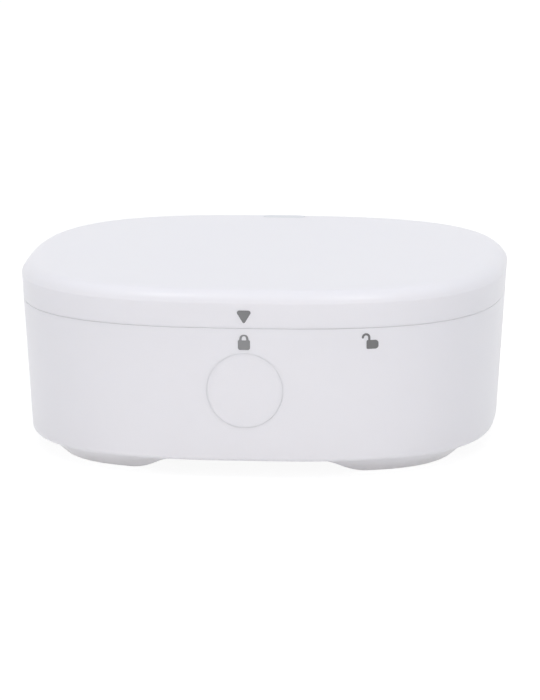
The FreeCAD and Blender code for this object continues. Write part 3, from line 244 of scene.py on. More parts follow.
def drift_noise(nodes, links, place):
    """A noise that changes over a centimetre or two."""
    broad = nodes.new("ShaderNodeTexNoise")
    broad.inputs["Scale"].default_value = DRIFT_SCALE
    broad.inputs["Detail"].default_value = DRIFT_DETAIL
    links.new(place, broad.inputs["Vector"])
    return broad.outputs["Fac"]


def fine_pattern(nodes, links, place, stretch, grain, lines):
    """The texture that a fingertip feels: a fine noise, or a pattern of lines."""
    stretched = nodes.new("ShaderNodeMapping")
    stretched.inputs["Scale"].default_value = stretch
    links.new(place, stretched.inputs["Vector"])
    fine = nodes.new(LINE_PATTERNS.get(lines, "ShaderNodeTexNoise"))
    if not lines:
        fine.inputs["Detail"].default_value = GRAIN_DETAIL
    fine.inputs["Scale"].default_value = grain
    links.new(stretched.outputs["Vector"], fine.inputs["Vector"])
    return fine.outputs["Fac"]


def drifting_colour(nodes, links, noise, colour, drift):
    """A colour that wanders a little to both sides of the given one."""
    tint = nodes.new("ShaderNodeValToRGB")
    low, high = tint.color_ramp.elements
    low.position, high.position = NOISE_RANGE
    low.color = [c * (1.0 - drift) for c in colour] + [1.0]
    high.color = [min(1.0, c * (1.0 + drift)) for c in colour] + [1.0]
    links.new(noise, tint.inputs["Fac"])
    return tint.outputs["Color"]


def shade_lines(nodes, links, height, tint, colour):
    """The tint, with the lines of a pattern in a darker shade of the colour."""
    blend = nodes.new("ShaderNodeMix")
    blend.data_type = "RGBA"
    blend.inputs[SECOND_COLOUR].default_value = [c * LINE_SHADE for c in colour] + [1.0]
    links.new(height, blend.inputs[FACTOR])
    links.new(tint, blend.inputs[FIRST_COLOUR])
    return blend.outputs[MIXED_COLOUR]


def drifting_roughness(nodes, links, noise, rough):
    """A roughness that wanders between two values."""
    sheen = nodes.new("ShaderNodeMapRange")
    limits = zip(("From Min", "From Max", "To Min", "To Max"), NOISE_RANGE + rough)
    for label, value in limits:
        sheen.inputs[label].default_value = value
    links.new(noise, sheen.inputs["Value"])
    return sheen.outputs["Result"]


# %% A helper that writes one finish
def finish_of(name, colour, drift=0.03, rough=(0.4, 0.5), grain=3000.0, bump=0.02,
              stretch=(1.0, 1.0, 1.0), lines=None, **settings):
    """A material whose colour, roughness and bump follow two noises or a line pattern."""
    paint = bpy.data.materials.new(name)
    paint.use_nodes = True
    nodes, links = paint.node_tree.nodes, paint.node_tree.links
    shader = nodes["Principled BSDF"]
    for socket, value in settings.items():
        shader.inputs[socket.replace("_", " ")].default_value = value

    place = nodes.new("ShaderNodeTexCoord").outputs["Object"]
    noise = drift_noise(nodes, links, place)
    tint = drifting_colour(nodes, links, noise, colour, drift)
    height = fine_pattern(nodes, links, place, stretch, grain, lines)
    if lines:
        tint = shade_lines(nodes, links, height, tint, colour)
    links.new(tint, shader.inputs["Base Color"])
    roughness = drifting_roughness(nodes, links, noise, rough)
    links.new(roughness, shader.inputs["Roughness"])

    relief = nodes.new("ShaderNodeBump")
    relief.inputs["Strength"].default_value = bump
    relief.inputs["Distance"].default_value = BUMP_DEPTH
    links.new(height, relief.inputs["Height"])
    links.new(relief.outputs["Normal"], shader.inputs["Normal"])
    return paint


# %% [markdown]
# ## The plastic and the ink
# The shell is a white plastic that lets light a millimetre deep into it, which softens its
# shadows, so it has a little subsurface scattering. The marks are printed in grey ink,
# which is matt, and each print is not quite the same grey, as the picture has it.

# %% The finishes of this sensor
INK_GREYS = {"triangle_ink": 0.192, "closed_lock_ink": 0.232, "open_lock_ink": 0.162}

white_plastic = finish_of("white_plastic", (0.806, 0.793, 0.808), drift=0.004,
                          rough=(0.28, 0.34), grain=2600.0, bump=0.05,
                          Subsurface_Weight=0.3, Subsurface_Scale=1.2 * MM,
                          Subsurface_Radius=(1.0, 0.95, 0.9))


def ink_of(name, grey):
    """Printing ink: matt, with a hardly visible drift."""
    return finish_of(name, (grey, grey, grey), drift=0.04,
                     rough=(0.45, 0.55), grain=5000.0, bump=0.03)


inks = {name: ink_of(name, grey) for name, grey in INK_GREYS.items()}
print("finishes:", white_plastic.name, *inks)

# %% [markdown]
# ## Writing node trees as arithmetic
# The shell pieces follow rules, so Geometry Nodes shape them. A tree is a list of nodes
# and links, which is long to write out. Two small helpers keep it readable: Tree adds
# nodes to a group with named inputs, and Field lets a socket take part in ordinary
# arithmetic, so that a formula in the script looks like the formula on paper.


# %% A number that a tree works out
class Field:
    """A number that a node tree works out, which ordinary operators can combine."""

    def __init__(self, tree, socket):
        self.tree, self.socket = tree, socket

    def __add__(self, other):
        return self.tree.math("ADD", self, other)

    def __sub__(self, other):
        return self.tree.math("SUBTRACT", self, other)

    def __rsub__(self, other):
        return self.tree.math("SUBTRACT", other, self)

    def __mul__(self, other):
        return self.tree.math("MULTIPLY", self, other)

    def __truediv__(self, other):
        return self.tree.math("DIVIDE", self, other)

    def __rtruediv__(self, other):
        return self.tree.math("DIVIDE", other, self)

    def __pow__(self, other):
        return self.tree.math("POWER", self, other)

    def __abs__(self):
        return self.tree.math("ABSOLUTE", self)


# %% A tree with named inputs
class Tree:
    """A Geometry Nodes group with named inputs, ending in one mesh of one material."""

    def __init__(self, name, **inputs):
        self.group = bpy.data.node_groups.new(name, "GeometryNodeTree")
        sockets = self.group.interface
        sockets.new_socket("Geometry", in_out="INPUT", socket_type="NodeSocketGeometry")
        for label, kind in {**inputs, "material": "Material"}.items():
            sockets.new_socket(label, in_out="INPUT", socket_type=f"NodeSocket{kind}")
        sockets.new_socket("Geometry", in_out="OUTPUT", socket_type="NodeSocketGeometry")
        self.start = self.group.nodes.new("NodeGroupInput")

    def __getitem__(self, label):
        return Field(self, self.start.outputs[label])

    def node(self, kind, *values, **settings):
        """Adds a node, sets its properties, and feeds its inputs in order."""
        made = self.group.nodes.new(kind)
        for prop, value in settings.items():
            setattr(made, prop, value)
        waiting = [socket for socket in made.inputs if socket.enabled]
        for socket, value in zip(waiting, values):
            if isinstance(value, Field):
                self.group.links.new(value.socket, socket)
            elif value is not None:
                socket.default_value = value
        return made

    def out(self, made, label=0):
        return Field(self, made.outputs[label])

    def math(self, operation, *values):
        return self.out(self.node("ShaderNodeMath", *values, operation=operation))

    def vector(self, x, y, z):
        return self.out(self.node("ShaderNodeCombineXYZ", x, y, z))

    def parts(self, vector):
        split = self.node("ShaderNodeSeparateXYZ", vector)
        return tuple(self.out(split, axis) for axis in "XYZ")

    def position(self):
        return self.out(self.node("GeometryNodeInputPosition"))

    def weld(self, mesh, distance):
        return self.out(self.node("GeometryNodeMergeByDistance", mesh, True, distance))

    def finish(self, mesh):
        """Ends the tree in real faces with one material, smooth shaded."""
        real = self.out(self.node("GeometryNodeRealizeInstances", mesh))
        smooth = self.out(self.node("GeometryNodeSetShadeSmooth", real, True, True))
        painted = self.node("GeometryNodeSetMaterial", smooth, True, self["material"])
        end = self.group.nodes.new("NodeGroupOutput")
        self.group.links.new(painted.outputs[0], end.inputs[0])
        print("tree:", self.group.name, "with", len(self.group.nodes), "nodes")


# %% [markdown]
# ## From a tree to a plain mesh
# A tree runs as a modifier on a seed, which holds only the points, lines or faces that the
# tree starts from. The modifier could stay live, but a plain mesh can be cut and joined
# further, so the result is kept and the modifier goes. Its normals are then turned
# outwards, and corners sharper than 32 degrees show as edges while the rest stays smooth.

# %% Run a tree on a seed
CREASE = 32.0  # degrees


def seed_mesh(name, points, edges=(), faces=()):
    mesh = bpy.data.meshes.new(name)
    mesh.from_pydata([tuple(v * MM for v in p) for p in points], edges, faces)
    return mesh


def grow(name, tree, seed, **sizes):
    """Runs a tree on a seed mesh and keeps the result as an ordinary object."""
    grown = bpy.data.objects.new(name, seed)
    bpy.context.scene.collection.objects.link(grown)
    modifier = grown.modifiers.new("shape", "NODES")
    modifier.node_group = tree.group
    for item in tree.group.interface.items_tree:
        if item.in_out == "INPUT" and item.name in sizes:
            modifier[item.identifier] = sizes[item.name]
    graph = bpy.context.evaluated_depsgraph_get()
    mesh = bpy.data.meshes.new_from_object(grown.evaluated_get(graph), depsgraph=graph)
    mesh.name = name
    grown.modifiers.remove(modifier)
    grown.data = mesh
    return grown


def sharpen(piece, angle=CREASE):
    """Faces outwards, corners crisp and curves smooth."""
    work = bmesh.new()
    work.from_mesh(piece.data)
    bmesh.ops.recalc_face_normals(work, faces=work.faces)
    work.to_mesh(piece.data)
    work.free()
    piece.data.set_sharp_from_angle(angle=math.radians(angle))
    return piece


# %% [markdown]
# ## The plan of the sensor
# Seen from above, the sensor is neither a circle nor a square but something between,
# whose sides bow and run into the corners without a joint. A superellipse draws this with
# one number: |x|^n + |y|^n = a^n is a circle at n = 2 and a square at large n. At 2.74 it
# follows the arcs of the CAD outline within a seventh of a millimetre, and its curvature
# has no jumps for a highlight to catch on.
#
# Every wall is this plan drawn in by some distance, so one tree makes them all. The seed
# is a line of points, one for each step of a wall's profile: how far it is drawn in, how
# far it spreads from the middle (1 at the wall, 0 at the centre of a lid or floor), and
# its height. The tree bends a sheet of faces, one way round the plan and the other way
# along the profile, and welds the seam and the centres shut.

# %% The sheet that carries a profile
WELD = 0.002 * MM


def profile_sheet(tree):
    """A sheet of faces, and at each of its points the turn and the profile's numbers."""
    size = tree.node("GeometryNodeAttributeDomainSize", tree["Geometry"])
    count = tree.out(size, "Point Count")
    sheet = tree.node("GeometryNodeMeshGrid", 1.0, 1.0, tree["around"] + 1, count)
    # The grid is 1 by 1 round its middle, so u and v run from -0.5 to 0.5.
    u, v, _ = tree.parts(tree.position())
    turn = (u + 0.5) * math.tau
    step = tree.math("ROUND", (v + 0.5) * (count - 1))
    sample = tree.node("GeometryNodeSampleIndex", tree["Geometry"], tree.position(), step,
                       data_type="FLOAT_VECTOR")
    return tree.out(sheet), turn, tree.parts(tree.out(sample))


def bend_sheet(tree, sheet, place):
    """Ends the tree in the sheet, moved to its place and welded shut."""
    bent = tree.node("GeometryNodeSetPosition", sheet, True, place)
    tree.finish(tree.weld(tree.out(bent), WELD))


# %% The tree that carries a profile round the plan
HALF_WIDTH = 39.0
SQUARENESS, CIRCLE = 2.739, 2.0
AROUND = 480


def write_ring_tree():
    tree = Tree("carry_round_plan", half_width="Float", squareness="Float", around="Int")
    sheet, turn, (inset, spread, height) = profile_sheet(tree)
    n, a = tree["squareness"], tree["half_width"]
    cos, sin = tree.math("COSINE", turn), tree.math("SINE", turn)
    reach = (abs(cos) ** n + abs(sin) ** n) ** (-1.0 / n)
    x, y = reach * cos, reach * sin
    slope_x = tree.math("SIGN", cos) * abs(x) ** (n - 1)
    slope_y = tree.math("SIGN", sin) * abs(y) ** (n - 1)
    steep = (slope_x * slope_x + slope_y * slope_y) ** 0.5
    share = spread * IN_MM
    across = (x * a - inset * slope_x / steep) * share
    back = (y * a - inset * slope_y / steep) * share
    bend_sheet(tree, sheet, tree.vector(across, back, height))
    return tree


ring_tree = write_ring_tree()


def ring(name, profile, half_width=HALF_WIDTH, squareness=SQUARENESS, around=AROUND):
    """A closed wall with this profile, all round the plan."""
    seed = seed_mesh(name, profile)
    grown = grow(name, ring_tree, seed, half_width=half_width * MM, squareness=squareness,
                 around=around, material=white_plastic)
    return sharpen(grown)


# %% [markdown]
# ## Profiles
# A profile is a list of (inset, spread, height) points in millimetres. Straight stretches
# need few points and roundings need many, so two helpers lay them out. The walls lean out
# towards the top, as moulded walls do so that they leave the mould: the further down, the
# further in.

# %% Helpers for profiles
WIDEST, DRAFT_ANGLE = 28.2, 3.7
DRAFT = math.tan(math.radians(DRAFT_ANGLE))


def lean(height):
    """How far the outer wall is drawn in at a height."""
    return (WIDEST - height) * DRAFT


def behind(height, wall, spread=1.0):
    """The profile point on the inner side of a wall of this thickness."""
    return (lean(height) + wall, spread, height)


def run(start, end, steps):
    """Points from start towards end, without the end itself."""
    pairs = list(zip(start, end))
    return [tuple(a + (b - a) * i / steps for a, b in pairs) for i in range(steps)]


def bend(inset, height, radius, start, end, steps):
    """Points on an arc round (inset, height): 0 degrees faces out and 90 faces up."""
    made = []
    for i in range(steps + 1):
        angle = math.radians(start + (end - start) * i / steps)
        made.append(
            (inset - radius * math.cos(angle), 1.0, height + radius * math.sin(angle))
        )
    return made


print("the foot of the wall is drawn in by", round(lean(0.0), 2), "mm")

# %% [markdown]
# ## The base
# The base is an open tray. It could be a block with its inside cut out, but carried round
# as one profile it gets its wall and its soft edges in one go. The profile starts at the
# middle of the underside, goes out to the rounded lower edge, up the leaning wall to the
# rim, over the rim, and back down the inside to the middle of the floor, so the tray has a
# real wall all round. The rim edges are softened, because a moulded edge is never sharp
# and the seam reads through it.

# %% Carry the base's profile round
UNDERSIDE, RIM, FLOOR, LEDGE = 2.5, 24.04, 4.5, 21.0
BASE_ROUND, WALL, LIP = 0.8, 2.2, 1.0
RIM_ROUND, LIP_ROUND = 0.08, 0.15


def base_profile():
    low, upper = UNDERSIDE + BASE_ROUND, RIM - RIM_ROUND
    edge, inner = lean(low) + BASE_ROUND, lean(RIM) + LIP
    ledge, corner, middle = behind(LEDGE, WALL), behind(FLOOR, WALL), behind(FLOOR, WALL, 0.0)
    points = run((edge, 0.0, UNDERSIDE), (edge, 1.0, UNDERSIDE), steps=6)
    points += bend(edge, low, BASE_ROUND, -90, -DRAFT_ANGLE, steps=10)
    points += run(points[-1], (lean(upper), 1.0, upper), steps=24)[1:]
    points += bend(lean(RIM) + RIM_ROUND, upper, RIM_ROUND, -DRAFT_ANGLE, 90, steps=6)
    points += bend(inner - LIP_ROUND, RIM - LIP_ROUND, LIP_ROUND, 90, 180, steps=4)
    points += [(inner, 1.0, LEDGE)] + run(ledge, corner, steps=4)
    return points + run(corner, middle, steps=5) + [middle]


base_housing = ring("base_housing_shell", base_profile())
print("base faces:", len(base_housing.data.polygons))

# %% [markdown]
# ## Copies set round the middle
# Feet, drill holes, ribs and lugs all come in sets, evenly turned about the sensor's
# middle. Each copy could be placed by hand, but then a change to one would have to be made
# to all. The tree below takes one of them as its seed and sets copies round. The seeds
# are upright prisms: an outline drawn in the plan, with a lower and an upper height. Two
# of them lie along Y instead, because what they cut is seen from the front.


# %% The tree that sets copies round
def write_set_tree():
    tree = Tree("set_round_middle", count="Int")
    spots = tree.node("GeometryNodeMeshLine", tree["count"], mode="OFFSET")
    spots.inputs["Offset"].default_value = (0.0, 0.0, 0.0)
    index = tree.out(tree.node("GeometryNodeInputIndex"))
    turn = tree.vector(0.0, 0.0, index * math.tau / tree["count"])
    copies = tree.node("GeometryNodeInstanceOnPoints", tree.out(spots), True,
                       tree["Geometry"], False, None, turn)
    tree.finish(tree.out(copies))
    return tree


set_tree = write_set_tree()


def set_round(name, seed, count):
    return sharpen(grow(name, set_tree, seed, count=count, material=white_plastic))


# %% The prisms that it copies
def prism(name, outline, low, high, along="Z"):
    """A closed prism over an outline, standing up or lying along Y."""
    count = len(outline)
    points = [(x, y, z) for z in (low, high) for x, y in outline]
    if along == "Y":
        points = [(x, z, y) for x, y, z in points]
    ends = [tuple(range(count))[::-1], tuple(range(count, 2 * count))]
    sides = [(i, (i + 1) % count, count + (i + 1) % count, count + i) for i in range(count)]
    return seed_mesh(name, points, faces=ends + sides)


def arc(radius, turns, x=0.0, y=0.0):
    """Points at the given turns, in radians, round (x, y)."""
    return [(x + radius * math.cos(turn), y + radius * math.sin(turn)) for turn in turns]


def circle(radius, x=0.0, y=0.0, steps=48):
    return arc(radius, [math.tau * i / steps for i in range(steps)], x, y)


def sector(inner, outer, middle, sweep, steps=24):
    """The outline of part of a ring, from its middle direction, in degrees."""
    turns = [math.radians(middle - sweep / 2 + sweep * i / steps) for i in range(steps + 1)]
    return arc(outer, turns) + arc(inner, turns[::-1])


# %% [markdown]
# ## Cutting and joining
# Holes and openings could be modelled face by face. Cutting them out with solid drills is
# surer, and the exact solver leaves clean edges on curved walls.


# %% Helpers that cut and join
def join(*pieces):
    """Puts several meshes into the first piece."""
    with bpy.context.temp_override(
        active_object=pieces[0], selected_editable_objects=list(pieces)
    ):
        bpy.ops.object.join()


def cut(piece, *cutters):
    """Takes the cutters out of a piece, exactly."""
    for cutter in cutters:
        modifier = piece.modifiers.new("cut", "BOOLEAN")
        modifier.operation = "DIFFERENCE"
        modifier.solver = "EXACT"
        modifier.object = cutter
    graph = bpy.context.evaluated_depsgraph_get()
    mesh = bpy.data.meshes.new_from_object(piece.evaluated_get(graph), depsgraph=graph)
    piece.modifiers.clear()
    piece.data = mesh
    for cutter in cutters:
        bpy.data.objects.remove(cutter)
    piece.data.set_sharp_from_angle(angle=math.radians(CREASE))


# %% [markdown]
# ## Holes in the base
# The button's bore goes through the front wall, and the floor has four holes for the
# probes and six small ports under the sounder. Drills of the holes' sizes are set round
# and cut out. The wall's own faces are small, so the shading beside a hole stays true to
# the curve.

# %% Drill the base
BUTTON_HEIGHT, BUTTON_RADIUS, BUTTON_AROUND = 14.0, 6.0, 128
PLAY = 0.004
BORE = BUTTON_RADIUS + 2 * PLAY
BORE_START, BORE_END = -40.0, -35.0  # through the front wall
PROBE_REACH, PROBE_HOLE = 14.2, 1.25
PORT_REACH, PORT_RADIUS = 2.6, 0.7
DRILL_PAST = 0.5  # beyond both sides of the floor
DRILL_LOW, DRILL_HIGH = UNDERSIDE - DRILL_PAST, FLOOR + DRILL_PAST

probe_spot = PROBE_REACH * math.sqrt(0.5)  # across and back, at 45 degrees
probe_hole = circle(PROBE_HOLE, probe_spot, probe_spot)
probe_seed = prism("probe_drill", probe_hole, DRILL_LOW, DRILL_HIGH)
port_seed = prism("port_drill", circle(PORT_RADIUS, PORT_REACH), DRILL_LOW, DRILL_HIGH)
bore_outline = circle(BORE, 0.0, BUTTON_HEIGHT, BUTTON_AROUND)
bore_seed = prism("bore_drill", bore_outline, BORE_START, BORE_END, along="Y")
cut(
    base_housing,
    set_round("probe_drills", probe_seed, count=4),
    set_round("port_drills", port_seed, count=6),
    set_round("bore_drill", bore_seed, count=1),
)
print("base faces after drilling:", len(base_housing.data.polygons))

# %% [markdown]
# ## The feet
# The four feet are corners of one ring with its own, squarer plan and a side that slopes
# out to the tray's lower edge. Four single feet could be modelled, but their outer sides
# would be hard to keep on one line. The openings between them are level on top and come
# down to the floor in an S of two equal arcs, so one cutter with that outline is set round
# four times and taken out of the ring.

# %% Make the foot ring and cut its openings
FOOT_HALF, FOOT_SQUARENESS, FOOT_WIDTH = 31.82, 3.53, 8.0
FOOT_DRAFT, FOOT_ROUND = 50.0, 0.8  # degrees, radius
FOOT_ROOT = 0.4  # how far the ring reaches into the tray
FOOT_TOP = UNDERSIDE + FOOT_ROOT
GAP_HALF, GAP_RAMP = 10.1, 9.2
GAP_START, GAP_END = -60.0, -19.9  # from outside the ring to inside it
CUTTER_DROP = 1.0  # below the soles
CUTTER_RISE, CUTTER_SLANT = 0.4, 0.6  # above the ring, and inwards over that rise


def foot_profile():
    """The sole, its rounded edge, and the slope that meets the floor in one line."""
    set_in = FOOT_ROUND * math.tan(math.radians(45.0 - FOOT_DRAFT / 2))
    spread = -FOOT_TOP * math.tan(math.radians(FOOT_DRAFT))
    points = run((FOOT_WIDTH, 1.0, 0.0), (set_in, 1.0, 0.0), steps=6)
    points += bend(set_in, FOOT_ROUND, FOOT_ROUND, -90, -FOOT_DRAFT, steps=6)
    points += run(points[-1], (spread, 1.0, FOOT_TOP), steps=3)[1:]
    points += [(spread, 1.0, FOOT_TOP), (FOOT_WIDTH, 1.0, FOOT_TOP)]
    return points + [points[0]]


def gap_outline(steps=14):
    """An opening, seen from the front: level on top, with an S down to each foot."""
    radius = (UNDERSIDE ** 2 + GAP_RAMP ** 2) / (4 * UNDERSIDE)
    swing = math.asin(GAP_RAMP / 2 / radius)
    turns = [swing * i / steps for i in range(steps + 1)]
    falls = [(radius * math.sin(a), radius * (1 - math.cos(a))) for a in turns]
    right = [(GAP_HALF + GAP_RAMP, -CUTTER_DROP)]
    right += [(GAP_HALF + GAP_RAMP - x, z) for x, z in falls]
    right += [(GAP_HALF + x, UNDERSIDE - z) for x, z in falls[-2::-1]]
    right += [(GAP_HALF - CUTTER_SLANT, FOOT_TOP + CUTTER_RISE)]
    return right + [(-x, z) for x, z in right[::-1]]


feet = ring("feet", foot_profile(), FOOT_HALF, FOOT_SQUARENESS)
gap_seed = prism("gap_cutter", gap_outline(), GAP_START, GAP_END, along="Y")
cut(feet, set_round("gap_cutters", gap_seed, count=4))
print("feet:", len(feet.data.polygons), "faces")

# %% [markdown]
# ## The button's guide
# Behind the wall a short tube holds the button straight. It is a ring on a round plan, so
# the same tree makes it, standing up, and its points are then laid over to face the front.
# It and the feet are one moulding with the tray, so the three are joined.

# %% Make the guide and join the base
GUIDE_WALL, GUIDE_LENGTH, GUIDE_START = 0.8, 2.2, -36.3
TUBE_AROUND, SMALL_TUBE_AROUND = 240, 96


def tube(name, bore, wall, low, high, around=TUBE_AROUND):
    """A round ring with a rectangular section."""
    section = [(0.0, low), (wall, low), (wall, high), (0.0, high), (0.0, low)]
    return ring(name, [(i, 1.0, z) for i, z in section], bore + wall, CIRCLE, around)


button_guide = tube("button_guide", BORE, GUIDE_WALL, 0.0, GUIDE_LENGTH, SMALL_TUBE_AROUND)
for vertex in button_guide.data.vertices:
    x, y, z = vertex.co
    vertex.co = (x, z + GUIDE_START * MM, y + BUTTON_HEIGHT * MM)
sharpen(button_guide)
join(base_housing, feet, button_guide)
print("base with feet and guide:", len(base_housing.data.polygons), "faces")

# %% [markdown]
# ## The lid
# The lid is carried round the same plan: from the middle of its flat top, over the
# shoulder, down its short side to the seam, and back up inside to the ceiling. The
# shoulder is a wide rounding that stops 30 degrees above level, where a small tight corner
# takes it into the side. One wide arc down to the side would be simpler, but its light
# would fade out more softly than it does on the real lid.

# %% Carry the lid's profile round
TOP, LID_WALL, CEILING = 29.9, 2.0, 28.2
SHOULDER, SHOULDER_END, CORNER = 3.6, 30.0, 0.35  # radius, degrees, radius
SEAM = 0.02
LID_EDGE, EDGE_ROUND = RIM + SEAM, 0.08


def lid_profile():
    rise, between = math.radians(SHOULDER_END), SHOULDER - CORNER
    corner_height = TOP - SHOULDER + between * math.sin(rise)
    corner_inset = lean(corner_height) + CORNER
    middle = corner_inset + between * math.cos(rise)
    low = LID_EDGE + EDGE_ROUND
    ceiling = behind(CEILING, LID_WALL)
    ceiling_middle = behind(CEILING, LID_WALL, 0.0)
    points = run((middle, 0.0, TOP), (middle, 1.0, TOP), steps=6)
    points += bend(middle, TOP - SHOULDER, SHOULDER, 90, SHOULDER_END, steps=14)
    points += bend(corner_inset, corner_height, CORNER, SHOULDER_END, -DRAFT_ANGLE, steps=10)[1:]
    points += run(points[-1], (lean(low), 1.0, low), steps=8)[1:]
    points += bend(lean(low) + EDGE_ROUND, low, EDGE_ROUND, -DRAFT_ANGLE, -90, steps=6)
    points += run(behind(LID_EDGE, LID_WALL), ceiling, steps=4)
    return points + run(ceiling, ceiling_middle, steps=5) + [ceiling_middle]


lid_shell = ring("lid_shell_cover", lid_profile())
print("lid faces:", len(lid_shell.data.polygons))

# %% [markdown]
# ## What the lid carries
# A slot near the back edge takes the status window. Under the lid stand the round skirt
# that grips the collar, four bayonet lugs on it, the stiffening ribs in the corners and
# the ring that holds the cells down. All are moulded in one with the lid. So the skirt,
# the ribs and the ring reach a tenth of a millimetre into the ceiling, the lugs reach into
# the skirt, and the meshes are joined.

# %% Fit the lid out
WINDOW_LENGTH, WINDOW_WIDTH, WINDOW_BACK = 7.1, 2.6, 35.15
WINDOW_LOW, WINDOW_HIGH = 27.0, 31.0  # through the lid
CEILING_ROOT, SKIRT_ROOT = 0.1, 0.6  # how far one form reaches into another
ROOT = CEILING + CEILING_ROOT
RIB_START, RIB_END, RIB_SIDE, RIB_WALL, RIB_LOW = 24.5, 34.6, 21.0, 1.0, 26.0
SKIRT_BORE, SKIRT_WALL, SKIRT_LOW = 32.0, 1.5, 23.3
PRESS_BORE, PRESS_WALL, PRESS_LOW = 11.0, 1.0, 27.25
LUG_REACH, LUG_LOW, LUG_HIGH = 0.9, 25.4, 26.5
LUG_PLACE, LUG_SWEEP = 45.0, 12.0  # degrees


def slot(length, width, y, steps=16):
    """The outline of a slot with round ends, lying along X."""
    turns = [math.pi * i / steps - math.pi / 2 for i in range(steps + 1)]
    right = arc(width / 2, turns, (length - width) / 2, y)
    return right + [(-x, 2 * y - v) for x, v in right]


window_outline = slot(WINDOW_LENGTH, WINDOW_WIDTH, WINDOW_BACK)
window_seed = prism("window_cutter", window_outline, WINDOW_LOW, WINDOW_HIGH)
cut(lid_shell, set_round("window_cutter", window_seed, count=1))

rib_outline = box(RIB_START, RIB_END, RIB_SIDE, RIB_SIDE + RIB_WALL)
other_outline = box(RIB_SIDE, RIB_SIDE + RIB_WALL, RIB_START, RIB_END)
lug_outline = sector(
    SKIRT_BORE - LUG_REACH, SKIRT_BORE + SKIRT_ROOT, LUG_PLACE, LUG_SWEEP
)
join(
    lid_shell,
    tube("skirt", SKIRT_BORE, SKIRT_WALL, SKIRT_LOW, ROOT),
    tube("press_ring", PRESS_BORE, PRESS_WALL, PRESS_LOW, ROOT, SMALL_TUBE_AROUND),
    set_round("ribs", prism("rib", rib_outline, RIB_LOW, ROOT), count=4),
    set_round("other_ribs", prism("other_rib", other_outline, RIB_LOW, ROOT), count=4),
    set_round("lugs", prism("lug", lug_outline, LUG_LOW, LUG_HIGH), count=4),
)
print("lid with its fittings:", len(lid_shell.data.polygons), "faces")

# %% [markdown]
# ## What follows the wall
# The button's face and the printed marks take the front wall's own curve. They could be
# pressed onto it with a modifier, but the wall's distance from the middle can be worked
# out from how far across and how high a point is: the plan's formula gives the widest
# line, and the lean draws it in. One function writes that formula into any tree.


# %% The wall's distance, as a formula
def wall_distance(across, height):
    """How far the front wall is from the middle, there, in metres."""
    a, n = HALF_WIDTH * MM, SQUARENESS
    share = abs(across / a)
    depth = (1.0 - share ** n) ** (1.0 / n)
    slope = (share / depth) ** (n - 1.0)
    steep = (slope * slope + 1.0) ** 0.5
    return depth * a - (WIDEST * MM - height) * DRAFT * steep


# %% [markdown]
# ## The button
# The button is a round cap in a close bore, and it hangs in it a touch to the left, which
# leaves its circle plainer on the right. Its face follows the wall, so that it reads as one
# surface with a fine circle in it. Its profile runs from the middle of the face over a
# softened edge, along the barrel with its seal groove, to the flange that holds it in, and
# along the stem that presses the switch. Each profile point is a radius, how much it
# follows the wall's curve, and a depth behind it.

# %% The tree that turns a profile behind the wall
def write_button_tree():
    tree = Tree("turn_behind_wall", middle="Float", around="Int")
    sheet, turn, (radius, follow, depth) = profile_sheet(tree)
    across, rise = radius * tree.math("COSINE", turn), radius * tree.math("SINE", turn)
    curved = wall_distance(across, tree["middle"] + rise)
    flat = wall_distance(across * 0.0, tree["middle"])
    distance = flat + (curved - flat) * follow * IN_MM - depth
    bend_sheet(tree, sheet, tree.vector(across, distance * -1.0, tree["middle"] + rise))
    return tree


button_tree = write_button_tree()

# %% Make the button
BUTTON_ROUND, ROUND_STEPS = 0.03, 6
GROOVE_RADIUS, GROOVE_START, GROOVE_END = 5.1, 1.2, 2.2
FLANGE_RADIUS, FLANGE_START, FLANGE_END = 6.83, 3.78, 4.68
HOLLOW_RADIUS, HOLLOW_DEPTH = 4.5, 2.4
STEM_RADIUS, STEM_END = 1.6, 7.38
ALONG_WALL, STRAIGHT = 1.0, 0.0  # how much a point follows the wall's curve


def button_profile():
    flat_edge = BUTTON_RADIUS - BUTTON_ROUND
    points = run((0.0, ALONG_WALL, 0.0), (flat_edge, ALONG_WALL, 0.0), steps=8)
    for i in range(ROUND_STEPS + 1):
        angle = math.radians(90 * i / ROUND_STEPS)
        radius = flat_edge + BUTTON_ROUND * math.sin(angle)
        points.append((radius, ALONG_WALL, BUTTON_ROUND * (1 - math.cos(angle))))
    points += [(r, ALONG_WALL, GROOVE_START) for r in (BUTTON_RADIUS, GROOVE_RADIUS)]
    inner_steps = [
        (GROOVE_RADIUS, GROOVE_END), (BUTTON_RADIUS, GROOVE_END),
        (BUTTON_RADIUS, FLANGE_START), (FLANGE_RADIUS, FLANGE_START),
        (FLANGE_RADIUS, FLANGE_END), (HOLLOW_RADIUS, FLANGE_END),
        (HOLLOW_RADIUS, HOLLOW_DEPTH), (STEM_RADIUS, HOLLOW_DEPTH),
        (STEM_RADIUS, STEM_END), (0.0, STEM_END),
    ]
    return points + [(radius, STRAIGHT, depth) for radius, depth in inner_steps]


button_seed = seed_mesh("button_face", button_profile())
button_cap = sharpen(
    grow("button_face", button_tree, button_seed, middle=BUTTON_HEIGHT * MM,
         around=BUTTON_AROUND, material=white_plastic)
)
for vertex in button_cap.data.vertices:
    vertex.co.x -= PLAY * MM
print("button:", len(button_cap.data.polygons), "faces")

# %% [markdown]
# ## The printed marks
# Three grey marks show how the lid turns: a triangle on the lid points at a closed lock,
# and an open lock stands 28 degrees to the right. They could be a texture, but thin real
# shapes stay crisp from any distance. Each is drawn flat as closed outlines, and a tree
# fills them, lays them on the wall and gives them the thickness of printing. An outline
# inside another is a hole, such as the one in the lock's shackle.

# %% The tree that prints an outline on the wall
INK_THICKNESS, INK_CREASE = 0.025, 60.0  # the crease in degrees
INK_WELD = 0.001 * MM


